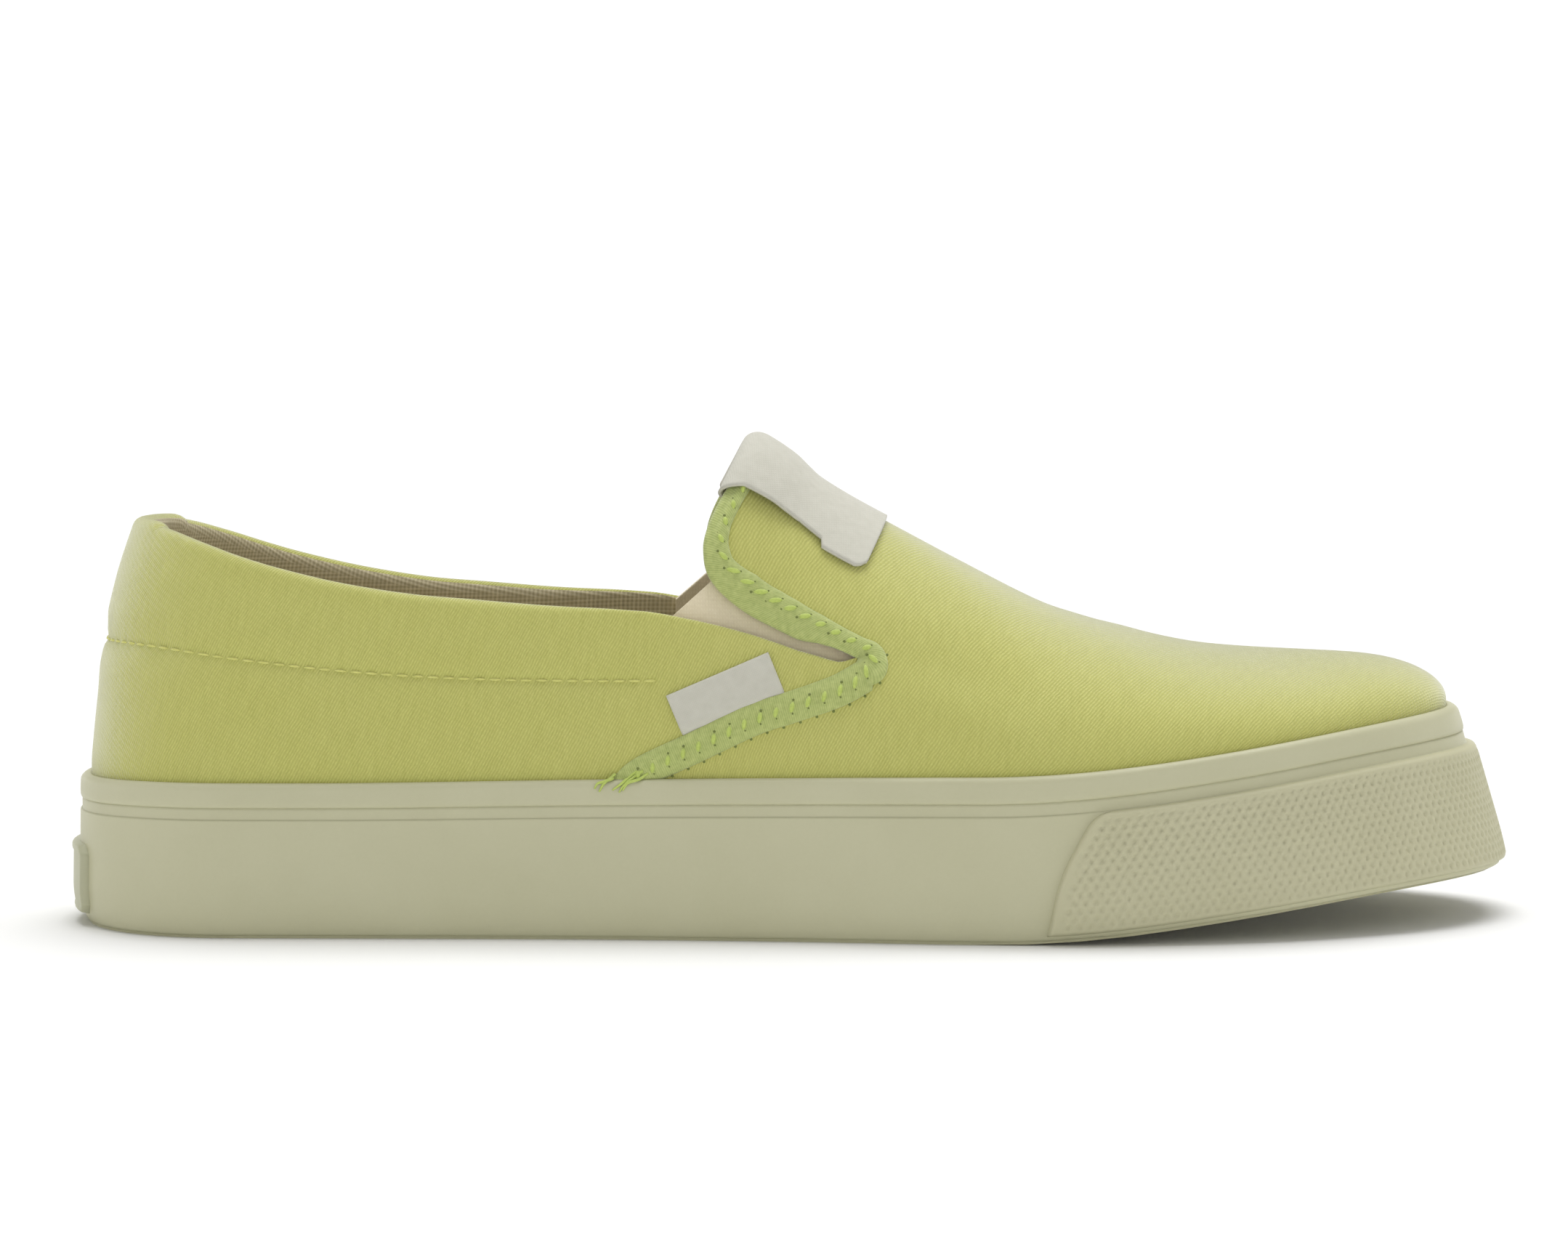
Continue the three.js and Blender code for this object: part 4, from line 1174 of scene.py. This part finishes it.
def make_gore(is_outer):
    """A thin elastic sheet under the slit, tucked in behind the quarter and the vamp."""
    rear_x = GORE_REAR * SOLE_LENGTH
    lower = shift_line(COLLAR_LINE, -GORE_REACH)
    lower = lower[(lower[:, 0] > rear_x) & (lower[:, 0] < SLIT[0])]
    front = shift_line(FLAP_LINE, -GORE_TURN)
    front = front[front[:, 1] - edge_height(front[:, 0]) < GORE_RISE]
    top_start = np.array([rear_x, lower[0, 1] + GORE_REACH - GAP])
    columns, rows = 60, 44
    low_line = resample(lower, columns)
    high_line = resample(np.stack([top_start, front[-1]]), columns)
    share = np.linspace(0, 1, rows)[:, None, None]
    side = low_line[None] * (1 - share) + high_line[None] * share
    front_edge = resample(np.vstack([lower[-1:], front]), rows)
    side = side + np.linspace(0, 1, columns)[None, :, None] * (front_edge - side[:, -1])[:, None]
    turn, climb = on_side(side)
    depth = -WALL - GORE_DEPTH
    outer = skin(turn, climb, depth, is_outer)
    inner = skin(turn, climb, depth - GORE_THICKNESS, is_outer)
    builder = Builder()
    builder.sheet(outer, inner, side)
    name = "gore_outer" if is_outer else "gore_inner"
    return builder.make(name + "_knit", ["elastic"], "elastic", name)


# The binding


# Points along the tape's three parts, and the distances from its inner edge that carry its lines
TAPE_UP = 150
TAPE_NOSE = 26
TAPE_DOWN = 110
TAPE_LEVELS = np.array([-2.2, -1.1, 0.0, 1.4, 2.8, 4.2, BINDING_WIDTH * 1.06])


def tape_line(width):
    """Side view of a line on the tape at a distance from its inner edge: down the vamp's edge from the
    ridge, round the slit's corner and down to the foxing."""
    up = resample(to_ridge(shift_line(FLAP_LINE, -width))[::-1], TAPE_UP)
    down = resample(shift_line(LOWER_LINE, max(width, -0.6)), TAPE_DOWN)
    if width <= 0:
        nose = np.linspace(up[-1], down[0], TAPE_NOSE)
        return np.concatenate([up, nose[1:-1], down])
    start = math.atan2(*(up[-1] - SLIT)[::-1])
    stop = math.atan2(*(down[0] - SLIT)[::-1])
    share = np.linspace(0, 1, TAPE_NOSE)
    angle = start + (stop - start) * share
    radius = width * (1 + NOSE_BULGE * np.sin(np.pi * share))
    nose = SLIT + np.stack([np.cos(angle), np.sin(angle)], 1) * radius[:, None]
    return np.concatenate([up, nose[1:-1], down])


TAPE_LINES = np.stack([tape_line(width) for width in TAPE_LEVELS])
TAPE_LENGTHS = line_lengths(TAPE_LINES[4])
# Share of the full width that lies flat on the canvas, and of the bulge past the vamp's edge, by the distance
# from the ridge.
TAPE_SHARE = table(
    "at share",
    [(0, 0.46), (16, 0.5), (22, 0.66), (28, 0.86), (34, 0.84), (42, 0.72), (50, 0.64), (55, 0.64),
     (58, 0.78), (61, 1.0), (64, 1.12), (68, 1.1), (75, 1.05), (200, 1.05)],
)
TAPE_BULGE = table(
    "at share",
    [(0, 0.9), (18, 1.0), (28, 1.45), (44, 1.5), (54, 1.15), (60, 0.8), (66, 1.0), (200, 1.0)],
)
NOSE_AT = TAPE_LENGTHS[TAPE_UP + TAPE_NOSE // 2]


def tape_side(distance, width):
    """Side view point of the tape by the distance from the ridge and from its inner edge."""
    distance, width = np.broadcast_arrays(distance, width)
    share = np.interp(distance, TAPE_SHARE["at"], TAPE_SHARE["share"])
    bulge = np.interp(distance, TAPE_BULGE["at"], TAPE_BULGE["share"])
    width = np.where(width > 0, width * share, width * bulge)
    step = np.interp(distance, TAPE_LENGTHS, np.arange(len(TAPE_LENGTHS)))
    level = np.interp(width, TAPE_LEVELS, np.arange(len(TAPE_LEVELS)))
    return between(TAPE_LINES, level, step)


def tape_dome(width):
    """Height of the tape over the canvas, across its width."""
    t = np.clip(width / BINDING_WIDTH, 0, 1)
    return 0.45 + 0.75 * (1 - np.abs(2 * t - 1) ** 2.6)


def tape_profile():
    """Section of the tape: width from the inner edge and height, folded round an edge and laid flat."""
    top = [(BINDING_WIDTH, -0.2), (BINDING_WIDTH + 0.05, 0.15)]
    top += [(width, float(tape_dome(width))) for width in np.linspace(BINDING_WIDTH - 0.1, 0.35, 15)]
    reach = WALL / 2 + 0.5
    turned = np.radians(np.linspace(75, -90, 9))
    fold = list(zip(-reach * np.cos(turned), -WALL / 2 + reach * np.sin(turned)))
    fold += [(width, -WALL - 0.5) for width in (1.2, 2.6, 3.6)] + [(3.6, -WALL + 0.2)]
    edge = [(0.0, 0.62), (-0.35, 0.4), (-0.4, -0.2)]
    under = len(fold) - len(edge)
    edge += [(-0.4 + 3.0 * (k + 1) / under, -0.25) for k in range(under)]
    return np.array(top + fold), np.array(top + edge)


def make_binding():
    """The folded tape, from the foxing on one side over the top of the vamp to the foxing on the other."""
    folded, flat = tape_profile()
    length = TAPE_LENGTHS[-1]
    distance = np.unique(np.concatenate([np.linspace(0, length, 250), TAPE_LENGTHS[TAPE_UP:][:TAPE_NOSE]]))
    wrap = 1 - ease(NOSE_AT - 16, NOSE_AT - 7, distance)
    section = folded[None] * wrap[:, None, None] + flat[None] * (1 - wrap)[:, None, None]
    side = tape_side(distance[:, None], section[..., 0])
    turn, climb = on_side(side)
    climb[0] = 1.0
    ruffle = 0.1 * np.sin(distance / 1.05) * np.sin(distance / 4.3 + 1)
    height = section[..., 1] + ruffle[:, None] * (section[..., 1] > 0.3)
    around = np.concatenate([[0], np.cumsum(np.linalg.norm(np.diff(folded, axis=0), axis=1))])
    uv = np.stack(np.broadcast_arrays(distance[:, None], around[None]), -1)
    builder = Builder()
    for is_outer in (True, False):
        points = skin(turn, climb, height, is_outer)
        builder.grid(points, uv, loop=True)
        end = points[-1]
        builder.grid(np.stack([end, np.broadcast_to(end.mean(0), end.shape)]), uv[-2:], loop=True)
    return builder.make("binding_tape", ["tape"], "binding_tape", "binding", weld=0.02)


# Threads


def thread_arches(builder, starts, ends, normals, radius, rise):
    """Short arched stitches, each from a start to its end point and thinner at both."""
    across = unit(np.cross(unit(ends - starts), normals))
    t = np.linspace(0, 1, 5)[:, None]
    arch = np.sin(np.pi * t)
    width = radius * (0.45 + 0.55 * np.sqrt(arch))
    for k in range(len(starts)):
        middle = starts[k] + (ends[k] - starts[k]) * t + normals[k] * rise * arch
        builder.tube(middle, across[k], normals[k], width)


def tape_points(distance, width, over, is_outer):
    turn, climb = on_side(tape_side(distance, width))
    return skin_and_normal(turn, climb, tape_dome(width) + over, is_outer)


STITCH_PITCH = 3.3
STITCH_START = 8.0
STITCH_RADIUS = 0.52
HOLE_ROWS = (1.7, 4.0)
HOLE_RADII = (0.32, 0.26, 0.38)


def make_tape_stitches():
    """Soft bright thread between two rows of needle holes, and a row of dents beside the lower run. The holes
    and dents are dark discs of painted shade.
    """
    builder, hole_shades = Builder(), Builder()
    count = int((TAPE_LENGTHS[-1] - 9) / STITCH_PITCH)
    at = STITCH_START + STITCH_PITCH * np.arange(count)
    low, high = (np.full(count, row) for row in HOLE_ROWS)
    for is_outer in (True, False):
        a, normal = tape_points(at + 0.3, low + 0.35, -0.12, is_outer)
        b, _ = tape_points(at + 0.55 * STITCH_PITCH, high - 0.3, -0.12, is_outer)
        thread_arches(builder, a, b, normal, STITCH_RADIUS, 0.22)
        needle_hole_shade(hole_shades, *tape_points(at, low, 0.0, is_outer), HOLE_RADII[0])
        needle_hole_shade(hole_shades, *tape_points(at + STITCH_PITCH / 2, high, 0.0, is_outer), HOLE_RADII[1])
        edge_row(hole_shades, is_outer)
    builder.make("binding_thread", ["bright_thread"], "binding_tape")
    hole_shades.make("binding_needle_hole_shade", ["hole_shade"], "binding_tape")


def edge_row(hole_shades, is_outer):
    """Needle holes in the canvas just outside the lower run and the nose, as dark discs of painted shade."""
    at = np.arange(NOSE_AT - 1, TAPE_LENGTHS[-1] - 8, STITCH_PITCH * 1.05)
    edge = tape_side(at, BINDING_WIDTH)
    inward = tape_side(at, BINDING_WIDTH - 1.0)
    turn, climb = on_side(edge + unit(edge - inward) * 0.25)
    needle_hole_shade(hole_shades, *skin_and_normal(turn, climb, 0.02, is_outer), HOLE_RADII[2])


def needle_hole_shade(builder, points, normals, radius, sides=8):
    """Painted shade of needle holes, as small shallow dark discs set into the surface."""
    helper = unit(np.cross(normals, np.array([0.3, 0.2, 1.0])))
    other = np.cross(normals, helper)
    angles = np.linspace(0, 2 * np.pi, sides, endpoint=False)
    for k in range(len(points)):
        ring = helper[k] * np.cos(angles)[:, None] + other[k] * np.sin(angles)[:, None]
        rows = [
            np.broadcast_to(points[k] + normals[k] * 0.05, (sides, 3)),
            points[k] + ring * radius * 0.7 + normals[k] * 0.04,
            points[k] + ring * radius - normals[k] * 0.12,
            np.broadcast_to(points[k] - normals[k] * 0.14, (sides, 3)),
        ]
        builder.grid(np.stack(rows), np.zeros((4, sides, 2)), loop=True)


QUILT_END = 0.405
QUILT_PITCH = 3.05
QUILT_STITCH = 2.25


def make_quilting():
    """The row of canvas-coloured stitches under the padded collar."""
    builder = Builder()
    turns = np.linspace(0.0, 0.47, 900)

    def over(climb):
        point = upper_point(turns, climb)
        return point[:, 2] - edge_height(point[:, 0]) - quilt_rise(point[:, 0])

    climb = solve_rising(over, 0.0, 0 * turns, 0 * turns + 0.7)
    for is_outer in (True, False):
        path = skin(turns, climb, 0.0, is_outer)
        arc = line_lengths(path)
        at = np.arange(0.4, arc[path[:, 0] < QUILT_END * SOLE_LENGTH][-1], QUILT_PITCH)
        start, end = (
            skin_and_normal(np.interp(on_arc, arc, turns), np.interp(on_arc, arc, climb), 0.05, is_outer)
            for on_arc in (at, at + QUILT_STITCH)
        )
        thread_arches(builder, start[0], end[0], start[1], 0.27, 0.2)
    return builder.make("quilting_thread", ["canvas_thread"], "canvas")


# Loose ends of thread over the foxing: side view points from the tape's end down, as the distance from the
# heel and the rise over the foxing's edge, in millimetres.
LOOSE_ENDS = [
    ((109.4, 1.1), (108.0, 0.1), (107.1, -0.8), (106.3, -2.3)),
    ((109.0, 0.5), (107.4, -0.2), (106.0, -0.6), (105.4, -1.7)),
    ((113.6, 1.6), (111.8, 0.3), (110.4, -0.9), (108.9, -2.0)),
    ((114.8, 1.7), (112.8, 0.4), (111.0, -1.2), (110.2, -2.5)),
    ((115.8, 1.2), (113.6, 0.0), (111.9, -0.6), (110.9, -2.1)),
]


def make_loose_ends():
    """A few frayed threads where the tape's lower end goes under the foxing, on the outer side."""
    builder = Builder()
    count = 14
    for steps in LOOSE_ENDS:
        x, rise = spline(steps, count).T
        turn = turn_at(x, 0 * x)
        rubber = sole_point(turn, 0.25, SOLE_HEIGHT + np.minimum(rise, 0))
        turn_up, climb = on_side(np.stack([x, edge_height(x) + np.maximum(rise, 0)], 1))
        canvas = skin(turn_up, climb, 1.0)
        share = ease(-0.4, 1.0, rise)[:, None]
        middle = rubber * (1 - share) + canvas * share
        along = unit(np.gradient(middle, axis=0))
        helper = unit(np.cross(along, [0.0, 1.0, 0.0]))
        other = np.cross(along, helper)
        builder.tube(middle, helper, other, 0.32 * (1 - 0.5 * np.linspace(0, 1, count) ** 3))
    return builder.make("loose_thread_ends", ["bright_thread"], "binding_tape")


# The tongue label and the side tag


LABEL_LEAN = 0.53  # how far its edges lean back for each millimetre down
LABEL_FRONT = 24.3
LABEL_HEIGHT = 0.55
# The label's sides: distance ahead of the vamp's top edge, drop below the ridge.
LABEL_SIDES = table(
    "at drop",
    [(-4, 10.4), (-2.5, 9.7), (0, 8.4), (5, 7.9), (11, 7.5), (15.6, 8.0), (16.1, 9.2),
     (22.6, 9.1), (23.5, 8.6), (24.1, 7.7), (26, 7.4)],
)


def label_side(distance, drop):
    """Side view point of the label, ahead of the vamp's top edge and down from the ridge."""
    top = VAMP_TOP_X + distance
    return np.stack([top - LABEL_LEAN * drop, crown_height(top) - drop], -1)


def label_section():
    """The ribbon folded over the vamp's edge and the tape, as a closed section of (distance, height)."""
    height = LABEL_HEIGHT
    top = [(LABEL_FRONT, height), (BINDING_WIDTH + 6.5, height), (BINDING_WIDTH + 3, height + 0.5)]
    top += [(BINDING_WIDTH, height + 1.2), (2.5, height + 1.35), (0.6, height + 1.3)]
    middle, reach = -WALL / 2, WALL / 2 + height + 1.25
    bend = [
        (-reach * math.cos(a), middle + reach * math.sin(a))
        for a in np.linspace(math.radians(80), math.radians(-80), 9)
    ]
    inside = [(0.6, -WALL - height - 1.1), (LABEL_TURN_IN, -WALL - height - 0.6)]
    path = spline(top + bend + inside, 120)
    along = unit(np.gradient(path, axis=0))
    left = np.stack([-along[:, 1], along[:, 0]], 1)
    return np.concatenate([path - left * LABEL_THICKNESS, path[::-1]])


def make_tongue_label():
    """A bare ribbon folded over the top of the vamp, a little wider at its front end."""
    section = label_section()
    drops = np.interp(section[:, 0], LABEL_SIDES["at"], LABEL_SIDES["drop"])
    drop = np.linspace(0, 1, 30)[:, None] ** 2 * drops
    distance, height = (np.broadcast_to(column, drop.shape) for column in section.T)
    side = label_side(distance, drop)
    turn, climb = on_side(side)
    climb[0] = 1.0
    half = len(section) // 2
    builder = Builder()
    for is_outer in (True, False):
        points = skin(turn, climb, height, is_outer)
        uv = side * (1, 1 if is_outer else -1)
        builder.grid(points, uv, loop=True)
        builder.grid(np.stack([points[-1, :half], points[-1, ::-1][:half]]), uv[-2:, :half])
    return builder.make("tongue_ribbon", ["ribbon"], "label", "tongue_label", weld=0.02)


def make_side_tag():
    """The bare tag on the outer side, tucked under the binding's lower run."""
    front = along_line(LOWER_LINE, TAG_FROM_SLIT)
    back = along_line(LOWER_LINE, TAG_FROM_SLIT + TAG_LENGTH)
    along = unit(back - front)
    out = np.array([along[1], -along[0]])
    s = np.linspace(0, TAG_LENGTH, 44)[None, :, None]
    t = np.linspace(-1.6, TAG_HEIGHT, 24)[:, None, None]
    side = front + along * s + out * t
    turn, climb = on_side(side)
    edge = np.minimum(np.minimum(s, TAG_LENGTH - s), TAG_HEIGHT - t)[..., 0]
    lift = -0.75 + 0.85 * ease(-0.8, 1.6, t[..., 0]) + 0.3 * ease(0, 1, t[..., 0] / TAG_HEIGHT)
    face = skin(turn, climb, lift + TAG_THICKNESS * (0.45 + 0.55 * rounded(edge, 0.35)))
    back_face = skin(turn, climb, lift - 0.1 + 0 * edge)
    uv = np.stack(np.broadcast_arrays(s[..., 0], t[..., 0]), -1)
    builder = Builder()
    builder.sheet(face, back_face, uv)
    return builder.make("side_ribbon", ["ribbon"], "label", "side_tag")


# Studio


CAMERA_PLACE = (-1.91, -1077.37, 135.0)
CAMERA_DOWN = 4
CAMERA_LENS = 122.5


def make_camera():
    """The photograph's view: level with the shoe's outer side, looking four degrees down."""
    data = bpy.data.cameras.new("camera")
    data.lens = CAMERA_LENS
    data.sensor_width = 36
    data.clip_start = 0.05
    camera = add_object("camera", data)
    camera.location = np.array(CAMERA_PLACE) * MM
    camera.rotation_euler = (math.radians(90 - CAMERA_DOWN), 0, 0)
    bpy.context.scene.camera = camera


# The studio: metres, strengths of light and the lamp's spread and tilt
STAGE_RADIUS = 5.0
WALL_RISE = 0.9
WALL_GLOW = 0.8
SURROUND_GLOW = 0.45
LAMP_GLOW = 2.4
LAMP_WIDTH = math.radians(48)
LAMP_TURN = (math.radians(-14), math.radians(3), 0)


def stage_piece(name, points, faces, material):
    mesh = bpy.data.meshes.new(name)
    mesh.from_pydata(points.tolist(), [], faces)
    mesh.materials.append(material)
    add_object(name, mesh)


def make_floor():
    """A pale floor, and far away a low lit wall all round it."""
    plain = Nodes("floor")
    fine = plain.noise(0.02, 2.0)
    plain.finish(plain.mix(fine, (0.87, 0.87, 0.87, 1), (0.89, 0.89, 0.89, 1)), 0.9)
    count = 96
    angles = np.linspace(0, 2 * np.pi, count, endpoint=False)
    ring = np.stack([np.cos(angles), np.sin(angles), 0 * angles], -1) * STAGE_RADIUS
    stage_piece("floor", ring, [list(range(count))], plain.material)

    lit = Nodes("lit_wall")
    soft = lit.noise(0.001, 1.0)
    lit.finish(lit.mix(soft, (0.9, 0.9, 0.9, 1), (0.92, 0.92, 0.92, 1)), 0.9)
    lit.shader.inputs["Emission Color"].default_value = (1, 1, 1, 1)
    lit.shader.inputs["Emission Strength"].default_value = WALL_GLOW
    points = np.concatenate([ring, ring + [0, 0, WALL_RISE]])
    faces = [[k, (k + 1) % count, count + (k + 1) % count, count + k] for k in range(count)]
    stage_piece("lit_wall", points, faces, lit.material)


def make_light():
    """Soft light from overhead and slightly behind, with an even surround."""
    world = bpy.data.worlds.new("studio")
    world.use_nodes = True
    surround = world.node_tree.nodes["Background"]
    surround.inputs["Color"].default_value = (1, 1, 1, 1)
    surround.inputs["Strength"].default_value = SURROUND_GLOW
    bpy.context.scene.world = world
    data = bpy.data.lights.new("overhead", "SUN")
    data.energy = LAMP_GLOW
    data.angle = LAMP_WIDTH
    add_object("overhead", data).rotation_euler = LAMP_TURN
    bpy.context.scene.view_settings.view_transform = "Standard"


def dress_outsole():
    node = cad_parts["outsole"]
    node.data.materials.clear()
    node.data.materials.append(MATERIALS["tread"])


make_camera()
make_floor()
make_light()
dress_outsole()
make_foxing()
make_strip()
make_bumper()
make_heel_tab()
make_footbed()
make_upper()
make_gore(True)
make_gore(False)
make_binding()
make_tape_stitches()
make_quilting()
make_loose_ends()
make_tongue_label()
make_side_tag()

bpy.context.view_layer.update()
